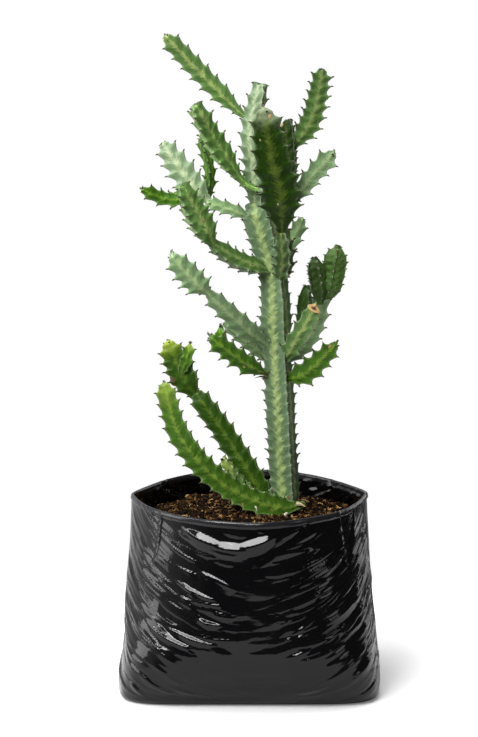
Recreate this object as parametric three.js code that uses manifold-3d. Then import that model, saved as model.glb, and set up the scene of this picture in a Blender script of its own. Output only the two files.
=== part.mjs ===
// A potted euphorbia: a jointed, ribbed and spiny cactus-like plant that stands in potting soil
// in a black polythene grow bag. Millimetres, +Z up, the front of the plant faces -Y.
// The origin is the middle of the bag's flat base. Each joint of stem is a mesh of its own,
// because a joint ends in a narrow neck where it has grown out of the one below it.
import * as THREE from "three";
import { mergeVertices } from "three/addons/utils/BufferGeometryUtils.js";
import Module from "manifold-3d";

const wasm = await Module();
wasm.setup();

// The grow bag: a film bag of 350 mm lay-flat width, opened round at the mouth and nearly
// square at the base, where its side folds stick out as two ears. Its front and back stand
// upright down to a height, and draw in below that. A squareness of 2 is an ellipse; the
// curve says how soon the section turns square on the way down.
const BAG_HEIGHT = 181;
const MOUTH_HALF_WIDTH = 112;
const MOUTH_HALF_DEPTH = 116;
const MOUTH_PINCH = 0.09;
const PINCH_DEPTH = 80;
const BASE_HALF_DEPTH = 88;
const UPRIGHT_HEIGHT = 62;
const LEFT_EAR_FLARE = 12;
const RIGHT_EAR_FLARE = 10.5;
const BASE_EDGE_RADIUS = 7;
const BASE_EDGE_STEPS = 3;
const FILM = 1.2;
const HEM_HEIGHT = 5;
const HEM_TAPER = 1;
const HEM_SWELL = 0.6;
const BAG_SIDES = 36;
const MOUTH_SQUARENESS = 2;
const BASE_SQUARENESS = 5;
const SQUARENESS_CURVE = 3;
const FILM_COLOUR = 0x121314;

// The soil, and the gap that keeps touching pieces apart.
const SOIL_EDGE_HEIGHT = 158;
const SOIL_MOUND = 8;
const SOIL_LUMP = 1.6;
const SOIL_LUMP_WAVES = { around: 5.1, inward: 11, twist: 17 };
const SOIL_RINGS = [0.86, 0.68, 0.48, 0.26];
const SOIL_COLOUR = 0x35261a;
const GAP = 0.3;
const WALL_LEVELS = [BASE_EDGE_RADIUS, 24, 44, UPRIGHT_HEIGHT, 110, SOIL_EDGE_HEIGHT];
const JOINT_GROWTH = 0.42;

// The stems' cross-section: thin crests with hollow faces between them. VALLEY gives the
// radius at a valley, as a share of the crest's, for stems of three, four and five ribs. The
// tips draw in over a part of the last tooth if blunt, or past a share of the length if round.
const VALLEY = { 3: 0.44, 4: 0.6, 5: 0.8 };
const NOTCH = 0.72;
const TOOTH_LEAN = 0.35;
const CREST_GROWTH = 2;
const NARROWING_START = 0.5;
const BLUNT_TIP = { teeth: 0.7, shrink: 0.3 };
const ROUND_TIP = { start: 0.72, shrink: 0.9 };
const TIP_DOME = 0.2;

// The spines, one on each tooth.
const SPINE_LENGTH = 3.8;
const SPINE_FOOT = 1.3;
const SPINE_FOOT_BELOW = 0.8;
const SPINE_TILT = 14;
const SPINE_CLEARANCE = 1.2;
const CLEAR_STEP = 0.04;

// The greens of the skin, palest on old corky joints and brightest on young ones.
const SKIN_ROUGHNESS = 0.62;
const SKIN = {
  pale: 0x8fa882,
  grey: 0x7d9a78,
  green: 0x55793f,
  dark: 0x3c5d33,
  lime: 0x86a34a,
};

// The joints, each from its root to its tip. path: points on the axis; radius: the crest's
// radius at the root, at the widest place and at the tip; neck: where along the joint it
// starts and ends to swell, if not over NECK; notch: the radius between teeth as a share of
// the teeth's, if not NOTCH; swells: places along an uneven joint and how much thicker or
// thinner its crests are there; roll: the first rib's turn from the front towards the right,
// in degrees; teeth: the number along each rib.
const NECK = [0.02, 0.32];
const SWELL_SPAN = 0.07;
const STEMS = [
  { name: "trunk", skin: "pale", ribs: 4, roll: 28, teeth: 33, tip: "blunt",
    radius: [11, 17.2, 17], neck: [0.07, 0.13], notch: 0.88,
    swells: [[0.54, -1], [0.64, 1.2], [0.8, -1.2], [0.94, 2.4]],
    path: [[36, 7, 138], [33, 3, 187], [29, 0, 261], [25, 0, 325], [21, 0, 397], [6, 0, 457]] },
  { name: "crown", skin: "pale", ribs: 4, roll: 28, teeth: 10, tip: "blunt",
    radius: [8, 15, 12], neck: [0.02, 0.2],
    path: [[7, 0, 452], [5, 3, 490], [2, 6, 527], [9, 10, 567]] },
  { name: "top_left", skin: "green", ribs: 3, roll: 60, teeth: 9, tip: "blunt",
    radius: [4.5, 12, 11], neck: [0.1, 0.4],
    path: [[3, 7, 533], [-17, 1, 551], [-49, -8, 584], [-76, -15, 613]] },
  { name: "upper_left", skin: "green", ribs: 3, roll: -20, teeth: 9, tip: "blunt",
    radius: [5.5, 15, 12.5], neck: [0.2, 0.55],
    path: [[11, -2, 471], [-7, -14, 480], [-32, -31, 514], [-50, -47, 550]] },
  { name: "front_lower", skin: "green", ribs: 4, roll: 30, teeth: 5, tip: "blunt",
    radius: [6, 13, 12.5],
    path: [[28, -4, 384], [32, -16, 408], [30, -24, 433]] },
  { name: "front_upper", skin: "dark", ribs: 3, roll: 60, teeth: 9, tip: "blunt",
    radius: [5.5, 23.5, 17.5],
    path: [[30, -23, 429], [27, -38, 476], [20, -48, 503], [12, -60, 547]] },
  { name: "front_side", skin: "green", ribs: 3, roll: 60, teeth: 5, tip: "blunt",
    radius: [5.5, 12, 13],
    path: [[36, -35, 462], [57, -38, 489], [74, -42, 508]] },
  { name: "back_lower", skin: "green", ribs: 3, roll: 30, teeth: 9, tip: "blunt",
    radius: [6, 13.5, 12],
    path: [[17, 5, 437], [31, 14, 456], [38, 21, 490], [36, 26, 533]] },
  { name: "back_upper", skin: "green", ribs: 3, roll: 70, teeth: 9, tip: "blunt",
    radius: [5, 15, 12.5],
    path: [[37, 22, 506], [57, 27, 538], [67, 31, 580]] },
  { name: "back_stub", skin: "grey", ribs: 3, roll: 60, teeth: 4, tip: "blunt",
    radius: [5, 10, 10],
    path: [[26, -1, 400], [40, 0, 426], [48, 1, 443]] },
  { name: "left_high_inner", skin: "grey", ribs: 3, roll: 60, teeth: 5, tip: "blunt",
    radius: [4.8, 8.8, 8.5], neck: [0.25, 0.55],
    path: [[11, 1, 438], [-11, -7, 452], [-39, -7, 461]] },
  { name: "left_high_outer", skin: "pale", ribs: 3, roll: 60, teeth: 6, tip: "blunt",
    radius: [5, 17, 13], neck: [0.02, 0.25],
    path: [[-36, -7, 460], [-54, -2, 477], [-80, 4, 513]] },
  { name: "left_high_shoot", skin: "green", ribs: 3, roll: 0, teeth: 6, tip: "blunt",
    radius: [3, 8, 6.5],
    path: [[-40, 0, 458], [-38, 7, 490], [-46, 10, 518]] },
  { name: "left_mid_inner", skin: "grey", ribs: 3, roll: -15, teeth: 6, tip: "blunt",
    radius: [5, 12.6, 11],
    path: [[21, -4, 395], [-11, -19, 406], [-34, -28, 422]] },
  { name: "left_mid_outer", skin: "green", ribs: 3, roll: -20, teeth: 7, tip: "blunt",
    radius: [5.5, 17.5, 13],
    path: [[-33, -28, 420], [-49, -36, 446], [-63, -44, 477]] },
  { name: "left_mid_shoot", skin: "green", ribs: 3, roll: 60, teeth: 4, tip: "blunt",
    radius: [4, 9.5, 8.5],
    path: [[-54, -39, 467], [-78, -32, 467], [-98, -36, 475]] },
  { name: "left_low_inner", skin: "grey", ribs: 3, roll: 45, teeth: 6, tip: "blunt",
    radius: [7, 13.6, 11.5], neck: [0.05, 0.4],
    path: [[21, -3, 323], [-10, -21, 352], [-37, -34, 379]] },
  { name: "left_low_outer", skin: "green", ribs: 3, roll: 50, teeth: 5, tip: "blunt",
    radius: [5, 16.5, 13.5],
    path: [[-37, -34, 378], [-54, -42, 397], [-70, -50, 415]] },
  { name: "left_back", skin: "grey", ribs: 3, roll: 60, teeth: 6, tip: "blunt",
    radius: [5, 9.5, 8],
    path: [[26, 3, 307], [4, 16, 321], [-23, 24, 342]] },
  { name: "left_lowest", skin: "green", ribs: 3, roll: 60, teeth: 6, tip: "blunt",
    radius: [4.5, 13.5, 12], neck: [0.12, 0.42],
    path: [[22, -3, 295], [-6, -18, 313], [-35, -33, 337]] },
  { name: "left_lowest_bud", skin: "green", ribs: 3, roll: 30, teeth: 2, tip: "round",
    radius: [4, 7, 6.4],
    path: [[-22, -25, 328], [-25, -29, 337], [-28, -32, 347]] },
  { name: "right_cut", skin: "green", ribs: 3, roll: 60, teeth: 5, tip: "cut",
    radius: [5.5, 12.5, 11],
    path: [[30, -4, 308], [46, -20, 340], [59, -30, 364]] },
  { name: "right_back_inner", skin: "green", ribs: 3, roll: 60, teeth: 7, tip: "blunt",
    radius: [5.5, 13, 11],
    path: [[28, 2, 305], [53, 18, 327], [65, 26, 349], [68, 30, 369]] },
  { name: "right_back_club_low", skin: "dark", ribs: 5, roll: 18, teeth: 6, tip: "round",
    radius: [5, 10, 9.8], notch: 0.93,
    path: [[67, 27, 362], [65, 27, 380], [61, 28, 403]] },
  { name: "right_back_club_high", skin: "dark", ribs: 5, roll: 0, teeth: 8, tip: "round",
    radius: [5, 12.4, 12], notch: 0.93,
    path: [[71, 30, 361], [78, 34, 386], [83, 37, 413]] },
  { name: "right_back_shoot", skin: "green", ribs: 4, roll: 30, teeth: 6, tip: "round",
    radius: [4, 10, 9], notch: 0.86,
    path: [[50, 18, 321], [52, 38, 345], [54, 44, 374]] },
  { name: "right_low", skin: "green", ribs: 3, roll: 60, teeth: 6, tip: "blunt",
    radius: [4.5, 15.5, 11.5], neck: [0.1, 0.4],
    path: [[28, -2, 291], [53, -18, 304], [78, -32, 330]] },
  { name: "base_front", skin: "green", ribs: 3, roll: 60, teeth: 17, tip: "blunt",
    radius: [3, 15, 12], neck: [0, 0.2], notch: 0.82,
    path: [[51, -6, 173], [30, -9, 172], [-3, -14, 183], [-37, -21, 207], [-66, -27, 245],
      [-80, -32, 292]] },
  { name: "base_sprout", skin: "lime", ribs: 3, roll: 30, teeth: 6, tip: "blunt",
    radius: [3.5, 9.5, 7.5],
    path: [[8, -6, 178], [-8, -1, 194], [-25, 1, 215]] },
  { name: "base_back_lower", skin: "green", ribs: 3, roll: 60, teeth: 12, tip: "blunt",
    radius: [8, 15, 13], neck: [0.1, 0.28], notch: 0.82,
    path: [[26, 16, 146], [7, 12, 187], [-21, 15, 234], [-50, 18, 275]] },
  { name: "base_back_upper", skin: "green", ribs: 3, roll: 60, teeth: 6, tip: "blunt",
    radius: [7, 17, 14], neck: [0.04, 0.35], notch: 0.8,
    path: [[-50, 18, 272], [-61, 17, 289], [-77, 14, 324]] },
  { name: "base_back_bud", skin: "green", ribs: 3, roll: 60, teeth: 3, tip: "round",
    radius: [5, 8.5, 7.5],
    path: [[-66, 11, 296], [-60, 8, 311], [-57, 7, 325]] },
];

const MERGE_DISTANCE = 1e-4;
const radians = THREE.MathUtils.degToRad;
const smooth = THREE.MathUtils.smoothstep;
const mix = THREE.MathUtils.lerp;

// A closed mesh as a solid. A triangle's corners that lie together become one vertex.
function solidOf(geometry) {
  const merged = mergeVertices(geometry, MERGE_DISTANCE);
  return new wasm.Manifold(
    new wasm.Mesh({
      numProp: 3,
      vertProperties: merged.attributes.position.array,
      triVerts: new Uint32Array(merged.index.array),
    }),
  );
}

// A solid's triangles as a flat-shaded geometry.
function geometryOf(solid) {
  const mesh = solid.getMesh();
  const geometry = new THREE.BufferGeometry();
  geometry.setAttribute("position", new THREE.BufferAttribute(mesh.vertProperties, 3));
  geometry.setIndex(new THREE.BufferAttribute(mesh.triVerts, 1));
  return geometry;
}

// The largest of a solid's separate bodies: what a cut leaves of a joint beyond its neck.
function largestBody(solid) {
  return solid.decompose().reduce((best, body) => (body.volume() > best.volume() ? body : best));
}

// A closed skin over a row of rings, with a pole that closes each end. All rings have
// the same number of points, anticlockwise as seen from the last ring. A smooth skin's
// quads are split along their shorter diagonal, and a ribbed one's from crest to valley.
// A vertex in spines, a map to { corners, point }, gets a three-sided spike in place of
// its fan of faces.
function loft(rings, firstPole, lastPole, ribbed = false, spines = new Map()) {
  const sides = rings[0].length;
  const points = [firstPole, ...rings.flat(), lastPole];
  const last = points.length - 1;
  const at = (ring, side) => 1 + ring * sides + ((side + sides) % sides);
  const faces = [];
  const addFace = (...corners) => {
    if (!corners.some((corner) => spines.has(corner))) faces.push(...corners);
  };
  for (let side = 0; side < sides; side++) {
    addFace(0, at(0, side + 1), at(0, side));
    addFace(last, at(rings.length - 1, side), at(rings.length - 1, side + 1));
    for (let ring = 0; ring + 1 < rings.length; ring++) {
      const [a, b] = [at(ring, side), at(ring, side + 1)];
      const [c, d] = [at(ring + 1, side + 1), at(ring + 1, side)];
      const slant = points[a].distanceTo(points[c]) - points[b].distanceTo(points[d]);
      const crossed = ribbed ? side % 2 === 1 : slant > 0;
      const split = crossed ? [[a, b, d], [b, c, d]] : [[a, b, c], [a, c, d]];
      for (const face of split) addFace(...face);
    }
  }
  for (const [vertex, spine] of spines) {
    const ring = Math.floor((vertex - 1) / sides);
    const side = (vertex - 1) % sides;
    const around = [
      at(ring - 1, side), at(ring, side + 1), at(ring + 1, side + 1),
      at(ring + 1, side), at(ring + 1, side - 1), at(ring, side - 1),
    ];
    const first = points.length;
    points.push(...spine.corners, spine.point);
    for (let i = 0; i < 3; i++) {
      const corner = first + i;
      const next = first + ((i + 1) % 3);
      const [u, v, w] = [around[2 * i], around[2 * i + 1], around[(2 * i + 2) % 6]];
      faces.push(corner, u, v, corner, v, w, corner, w, next, corner, next, first + 3);
    }
  }
  return new THREE.BufferGeometry().setFromPoints(points).setIndex(faces);
}

// The axis of a joint: its point and its three directions (along, front, right) at t = 0 to 1.
function axisOf(stem) {
  const points = stem.path.map((point) => new THREE.Vector3(...point));
  const curve = new THREE.CatmullRomCurve3(points, false, "catmullrom", 0.5);
  const length = curve.getLength();
  const frameAt = (t) => {
    const along = curve.getTangentAt(THREE.MathUtils.clamp(t, 0, 1));
    const point = curve.getPointAt(THREE.MathUtils.clamp(t, 0, 1));
    const beyond = t - THREE.MathUtils.clamp(t, 0, 1);
    point.addScaledVector(along, beyond * length);
    const front = new THREE.Vector3(0, -1, 0).addScaledVector(along, along.y).normalize();
    const right = new THREE.Vector3().crossVectors(along, front);
    return { point, along, front, right };
  };
  return { length, frameAt };
}

// The crest's radius: it swells from the root's neck, and narrows again to the tip. A round
// tip closes like a dome, a blunt one is drawn in over the last tooth and a cut one is not.
function crestRadius(stem, t) {
  const [root, widest, tip] = stem.radius;
  const swell = mix(root, widest, smooth(t, ...(stem.neck ?? NECK)));
  let body = swell - (widest - tip) * smooth(t, NARROWING_START, 1);
  for (const [place, rise] of stem.swells ?? []) {
    body += rise * Math.exp(-(((t - place) / SWELL_SPAN) ** 2));
  }
  if (stem.tip === "round") {
    const share = Math.max(0, (t - ROUND_TIP.start) / (1 - ROUND_TIP.start));
    return body * Math.sqrt(1 - ROUND_TIP.shrink * share ** 2);
  }
  if (stem.tip === "cut") return body;
  return body * (1 - BLUNT_TIP.shrink * smooth(t, 1 - BLUNT_TIP.teeth / stem.teeth, 1));
}

// Whether a rib has a tooth's point, and not a notch, on a ring.
function isTooth(rib, ring) {
  return (ring + rib) % 2 === 1;
}

// A rib's angle from the front towards the right. Half a rib further is the next valley's.
function ribAngle(stem, rib) {
  return radians(stem.roll) + (2 * Math.PI * rib) / stem.ribs;
}

// A unit vector square to the axis, at an angle from the front towards the right.
function outward(frame, angle) {
  const direction = frame.front.clone().multiplyScalar(Math.cos(angle));
  return direction.addScaledVector(frame.right, Math.sin(angle));
}

// A joint. Each ring has a crest and a valley for each rib. The crests are a tooth's point
// and a notch in turn, and neighbouring ribs are half a tooth out of step. growth makes
// every face lie that much further out, to cut a seat with a gap, and leaves the spines off.
function stemSolid(stem, growth = 0) {
  const { length, frameAt } = stem.axis;
  const ringCount = 2 * stem.teeth + 1;
  const step = 1 / (ringCount - 1);
  const columns = 2 * stem.ribs;
  const rings = [];
  for (let ring = 0; ring < ringCount; ring++) {
    const radius = crestRadius(stem, ring * step);
    const frame = frameAt(ring * step);
    const inner = ring > 0 && ring < ringCount - 1;
    const points = [];
    for (let column = 0; column < columns; column++) {
      const away = outward(frame, ribAngle(stem, column / 2));
      const place = frame.point.clone();
      if (column % 2) {
        points.push(place.addScaledVector(away, radius * VALLEY[stem.ribs] + growth));
        continue;
      }
      const tooth = isTooth(column / 2, ring);
      const crest = radius * (tooth || !inner ? 1 : stem.notch ?? NOTCH) + CREST_GROWTH * growth;
      const lean = inner && tooth ? TOOTH_LEAN * step * length : 0;
      points.push(place.addScaledVector(away, crest).addScaledVector(frame.along, lean));
    }
    rings.push(points);
  }
  const start = frameAt(0);
  const end = frameAt(1);
  const dome = stem.tip === "cut" ? 0 : TIP_DOME * stem.radius[2];
  const firstPole = start.point.addScaledVector(start.along, -growth);
  const lastPole = end.point.addScaledVector(end.along, dome + growth);
  const spines = growth > 0 ? new Map() : spinesOn(stem, rings);
  return solidOf(loft(rings, firstPole, lastPole, true, spines));
}

// The spines of a joint's rings: each stands on three corners a little way down the tooth's
// faces, and leans towards the tip. Teeth that another joint or the soil covers have none.
function spinesOn(stem, rings) {
  const spines = new Map();
  const columns = 2 * stem.ribs;
  const tilt = radians(SPINE_TILT);
  for (let ring = 1; ring < rings.length - 1; ring++) {
    const frame = stem.axis.frameAt(ring / (rings.length - 1));
    for (let column = 0; column < columns; column += 2) {
      if (!isTooth(column / 2, ring)) continue;
      const tooth = rings[ring][column];
      const away = outward(frame, ribAngle(stem, column / 2));
      const aim = away.multiplyScalar(Math.cos(tilt)).addScaledVector(frame.along, Math.sin(tilt));
      const point = tooth.clone().addScaledVector(aim, SPINE_LENGTH);
      if (!isClear(point, stem) || !isClear(tooth, stem)) continue;
      const towards = (target, distance) => {
        return target.clone().sub(tooth).normalize().multiplyScalar(distance);
      };
      const down = towards(rings[ring - 1][column], SPINE_FOOT_BELOW);
      const up = towards(rings[ring + 1][column], SPINE_FOOT);
      const right = towards(rings[ring][column + 1], SPINE_FOOT);
      const left = towards(rings[ring][(column + columns - 1) % columns], SPINE_FOOT);
      const corners = [right.add(down), up, left.add(down)].map((corner) => corner.add(tooth));
      spines.set(1 + ring * columns + column, { corners, point });
    }
  }
  return spines;
}

// Whether a point is above the soil and clear of every other joint.
function isClear(point, stem) {
  if (point.z < SOIL_EDGE_HEIGHT + SOIL_MOUND + SPINE_LENGTH) return false;
  return STEMS.every((other) => {
    if (other === stem) return true;
    for (let t = 0; t <= 1; t += CLEAR_STEP) {
      const distance = other.axis.frameAt(t).point.distanceTo(point);
      if (distance < crestRadius(other, t) + SPINE_CLEARANCE) return false;
    }
    return true;
  });
}

// The bag's section at a height, drawn in by inset, as a list of points: a curve between an
// ellipse and a rectangle, wider and flatter towards the base. Near the mouth the film is
// drawn in beside the two side creases, which stand out as corners.
function bagRing(height, inset, level = height) {
  const drop = 1 - level / BAG_HEIGHT;
  const lean = Math.max(0, 1 - level / UPRIGHT_HEIGHT) ** 2;
  const halfDepth = mix(MOUTH_HALF_DEPTH, BASE_HALF_DEPTH, lean) - inset;
  const power = 2 / mix(MOUTH_SQUARENESS, BASE_SQUARENESS, drop ** SQUARENESS_CURVE);
  const pinch = MOUTH_PINCH * smooth(level, BAG_HEIGHT - PINCH_DEPTH, BAG_HEIGHT);
  const points = [];
  for (let side = 0; side < BAG_SIDES; side++) {
    const angle = (2 * Math.PI * side) / BAG_SIDES;
    const [c, s] = [Math.cos(angle), Math.sin(angle)];
    const ear = drop * (c < 0 ? LEFT_EAR_FLARE : RIGHT_EAR_FLARE);
    const drawnIn = 1 - pinch * Math.abs(Math.sin(2 * angle) * c);
    const x = (MOUTH_HALF_WIDTH + ear - inset) * Math.sign(c) * Math.abs(c) ** power;
    const y = halfDepth * Math.sign(s) * Math.abs(s) ** power;
    points.push(new THREE.Vector3(x * drawnIn, y * drawnIn, height));
  }
  return points;
}

// The bag: up the outside from a rounded base edge, over the hem and down the inside.
function growBag() {
  const rings = [];
  for (let step = 0; step < BASE_EDGE_STEPS; step++) {
    const angle = (Math.PI * step) / (2 * BASE_EDGE_STEPS);
    const inset = BASE_EDGE_RADIUS * (1 - Math.sin(angle));
    rings.push(bagRing(BASE_EDGE_RADIUS * (1 - Math.cos(angle)), inset));
  }
  const hemFoot = BAG_HEIGHT - HEM_HEIGHT;
  const walls = [...WALL_LEVELS, hemFoot - HEM_TAPER];
  for (const height of walls) rings.push(bagRing(height, 0));
  rings.push(bagRing(hemFoot, -HEM_SWELL));
  rings.push(bagRing(BAG_HEIGHT, -HEM_SWELL));
  rings.push(bagRing(BAG_HEIGHT, FILM + HEM_SWELL));
  rings.push(bagRing(hemFoot, FILM + HEM_SWELL));
  for (const height of walls.toReversed()) rings.push(bagRing(height, FILM));
  rings.push(bagRing(FILM, FILM + BASE_EDGE_RADIUS));
  return solidOf(loft(rings, new THREE.Vector3(0, 0, 0), new THREE.Vector3(0, 0, FILM)));
}

// A point of the soil's lumpy top: an edge point drawn in to a share of its distance.
function soilPoint(edgePoint, side, share) {
  const { around, inward, twist } = SOIL_LUMP_WAVES;
  const lump = Math.sin(around * side + inward * share) * Math.cos(twist * share + side);
  const height = SOIL_EDGE_HEIGHT + SOIL_MOUND * (1 - share ** 2) + SOIL_LUMP * lump;
  return new THREE.Vector3(edgePoint.x * share, edgePoint.y * share, height);
}

// The soil: a plug that fills the bag, with a low, lumpy mound on top.
function soilPlug() {
  const inset = FILM + 2 * GAP;
  const rings = [bagRing(FILM + GAP, inset + BASE_EDGE_RADIUS, FILM)];
  for (const level of WALL_LEVELS) rings.push(bagRing(level, inset));
  const edge = bagRing(SOIL_EDGE_HEIGHT, inset);
  for (const share of SOIL_RINGS) {
    rings.push(edge.map((point, side) => soilPoint(point, side, share)));
  }
  const top = new THREE.Vector3(0, 0, SOIL_EDGE_HEIGHT + SOIL_MOUND);
  return solidOf(loft(rings, new THREE.Vector3(0, 0, FILM + GAP), top));
}

const plant = new THREE.Group();

function addMesh(name, solid, material) {
  const mesh = new THREE.Mesh(geometryOf(solid), new THREE.MeshStandardMaterial(material));
  mesh.name = name;
  plant.add(mesh);
}

// Each joint is seated on the ones before it: what lies inside their grown bodies is cut away.
for (const stem of STEMS) stem.axis = axisOf(stem);
let soil = soilPlug();
const seats = [];
for (const stem of STEMS) {
  let joint = stemSolid(stem);
  for (const seat of seats) joint = joint.subtract(seat);
  const material = { color: SKIN[stem.skin], roughness: SKIN_ROUGHNESS, metalness: 0 };
  addMesh(`stem_${stem.name}`, largestBody(joint), material);
  const grown = stemSolid(stem, JOINT_GROWTH);
  seats.push(grown);
  soil = soil.subtract(grown);
}
addMesh("soil", largestBody(soil), { color: SOIL_COLOUR, roughness: 0.95, metalness: 0 });
addMesh("grow_bag", growBag(), { color: FILM_COLOUR, roughness: 0.28, metalness: 0 });

export default plant;
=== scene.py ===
import math

import bpy
import numpy as np
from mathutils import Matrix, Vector
from mathutils.bvhtree import BVHTree


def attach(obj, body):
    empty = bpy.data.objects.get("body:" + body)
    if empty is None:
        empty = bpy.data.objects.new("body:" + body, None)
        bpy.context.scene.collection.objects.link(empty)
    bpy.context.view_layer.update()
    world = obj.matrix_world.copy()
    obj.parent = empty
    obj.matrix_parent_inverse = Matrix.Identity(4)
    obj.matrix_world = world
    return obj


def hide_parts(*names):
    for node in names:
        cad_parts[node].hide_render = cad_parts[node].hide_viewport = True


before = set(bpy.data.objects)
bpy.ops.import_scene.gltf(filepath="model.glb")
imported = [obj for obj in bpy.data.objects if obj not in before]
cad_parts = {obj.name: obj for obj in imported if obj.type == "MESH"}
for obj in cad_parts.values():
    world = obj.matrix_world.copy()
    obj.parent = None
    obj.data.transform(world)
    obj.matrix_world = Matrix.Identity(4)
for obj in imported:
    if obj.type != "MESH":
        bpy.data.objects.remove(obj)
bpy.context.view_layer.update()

# ---------------------------------------------------------------------------------------
# The view: a long lens in front of the plant, a little above it, looking down on the soil.
VIEW_DISTANCE = 2.2
VIEW_ELEVATION = math.radians(9.4)
VIEW_TARGET = (-0.0104, 0.0, 0.303)
METRES_PER_PIXEL = 0.000945
PICTURE_HEIGHT = 737


def add_object(name, data):
    """Adds an object that shows the given camera, mesh or light."""
    made = bpy.data.objects.new(name, data)
    bpy.context.scene.collection.objects.link(made)
    return made


view = bpy.data.cameras.new("view")
view.sensor_width = 36.0
view.lens = VIEW_DISTANCE / METRES_PER_PIXEL * view.sensor_width / PICTURE_HEIGHT
viewpoint = add_object("view", view)
viewpoint.location = (
    VIEW_TARGET[0],
    -VIEW_DISTANCE * math.cos(VIEW_ELEVATION),
    VIEW_TARGET[2] + VIEW_DISTANCE * math.sin(VIEW_ELEVATION),
)
viewpoint.rotation_euler = (math.pi / 2 - VIEW_ELEVATION, 0.0, 0.0)
bpy.context.scene.camera = viewpoint

# ---------------------------------------------------------------------------------------
# The grow bag: one tube of black polythene film with a fold down each side and a rolled
# hem, heat-sealed at the base. The soil pushes it out, and it hangs in creases that run
# down like swags from the two side folds.
MM = 0.001
BAG_HEIGHT = 181.0
MOUTH_HALF_WIDTH = 112.0
MOUTH_HALF_DEPTH = 116.0
BASE_HALF_DEPTH = 88.0
EAR_FLARES = (12.0, 10.5)
BASE_EDGE_RADIUS = 5.0
FILM = 1.2
HEM_HEIGHT = 5.0
HEM_FOOT = BAG_HEIGHT - HEM_HEIGHT
HEM_SWELL = 0.6
FILM_COLUMNS = 470
FRONT_BIAS = 0.3
UPRIGHT_HEIGHT = 62.0
SMALLEST_PLEAT = 1.6
PLEATS = 240
PLEAT_SLOPE = 0.46
LAY_FLAT_WIDTH = 350.0
SIDE_FOLD = 99.0
INNER_CRUMPLE = 3.0
DEEPEST_DENT = 3.2
# The boldest creases of the front: their two ends (across, up), how far each stands out, how
# far its upper and its lower face reach, and how far it sags between its ends.
BOLD_CREASES = [
    (-64, 171, -16, 156, 3.4, 7.2, 10.0, 3.0), (-44, 160, 10, 157, 3.7, 8.1, 10.0, 3.5),
    (-22, 156, 27, 172, 3.5, 7.3, 10.0, 4.5), (-106, 145, -66, 114, 0.8, 1.6, 9.0, 3.0),
    (-30, 173, 0, 168, 0.9, 2.2, 5.0, 0.5), (2, 176, 34, 167, 0.8, 2.0, 5.0, 1.0),
    (-70, 118, -33, 77, 0.8, 1.9, 7.0, 1.0), (-42, 104, -10, 92, 0.8, 1.9, 7.0, 3.0),
    (-66, 128, -36, 92, 0.8, 2.0, 6.0, 1.0), (-92, 49, -60, 24, 1.3, 2.0, 7.0, 1.5),
    (-112, 24, -96, 8, 1.9, 1.9, 5.0, 0.0), (-104, 96, -52, 58, 0.7, 1.8, 6.0, 3.0),
    (-100, 74, -58, 40, 0.7, 1.7, 6.0, 3.0), (-38, 128, -24, 110, 0.8, 1.9, 4.0, 0.0),
    (109, 133, 27, 67, 1.3, 1.8, 9.0, 3.0), (89, 143, 44, 127, 1.4, 1.8, 9.0, 1.0),
    (106, 92, 60, 52, 1.3, 1.8, 8.0, 2.0), (-48, 134, -12, 118, 1.1, 1.9, 24.0, 0.0),
    (56, 176, 26, 165, 0.9, 2.3, 6.0, 0.0), (98, 178, 92, 120, 1.2, 2.6, 6.0, 0.0),
    (20, 150, 86, 152, 1.2, 3.0, 16.0, 0.0), (112, 60, 54, 22, 1.4, 1.8, 8.0, 4.0),
    (-86, 100, -28, 76, 0.8, 1.9, 7.0, 2.0), (-104, 36, -70, 14, 1.7, 1.9, 7.0, 2.0),
]
FILM_BLACK = (0.0028, 0.0028, 0.0033)
FILM_DUST = (0.004, 0.004, 0.0043)
HEM_GREY = (0.016, 0.016, 0.018)
HEM_DULLNESS = 0.12


def smooth_step(x, start, end):
    """0 before start and 1 after end, with a smooth turn between: 3s^2 - 2s^3."""
    s = np.clip((x - start) / (end - start), 0.0, 1.0)
    return s * s * (3.0 - 2.0 * s)


def lattice_noise(x, y, seed, around=4096, rows=256):
    """Smooth noise from -1 to 1: random values at whole x and y, joined by a smooth step. It
    repeats after as many whole steps of x as around says, and of y as rows says."""
    values = np.random.default_rng(seed).uniform(-1.0, 1.0, (around, rows))
    column, row = np.floor(x).astype(int), np.floor(y).astype(int)
    across, up = smooth_step(x - column, 0, 1), smooth_step(y - row, 0, 1)
    left, right = column % around, (column + 1) % around
    low, high = row % rows, (row + 1) % rows
    bottom = values[left, low] * (1 - across) + values[right, low] * across
    top = values[left, high] * (1 - across) + values[right, high] * across
    return bottom * (1 - up) + top * up


def film_share():
    """How far round the bag each column of the film lies, from 0 to 1."""
    even = np.arange(FILM_COLUMNS) / FILM_COLUMNS
    return even + FRONT_BIAS * np.sin(2 * math.pi * even) / (2 * math.pi)


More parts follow.
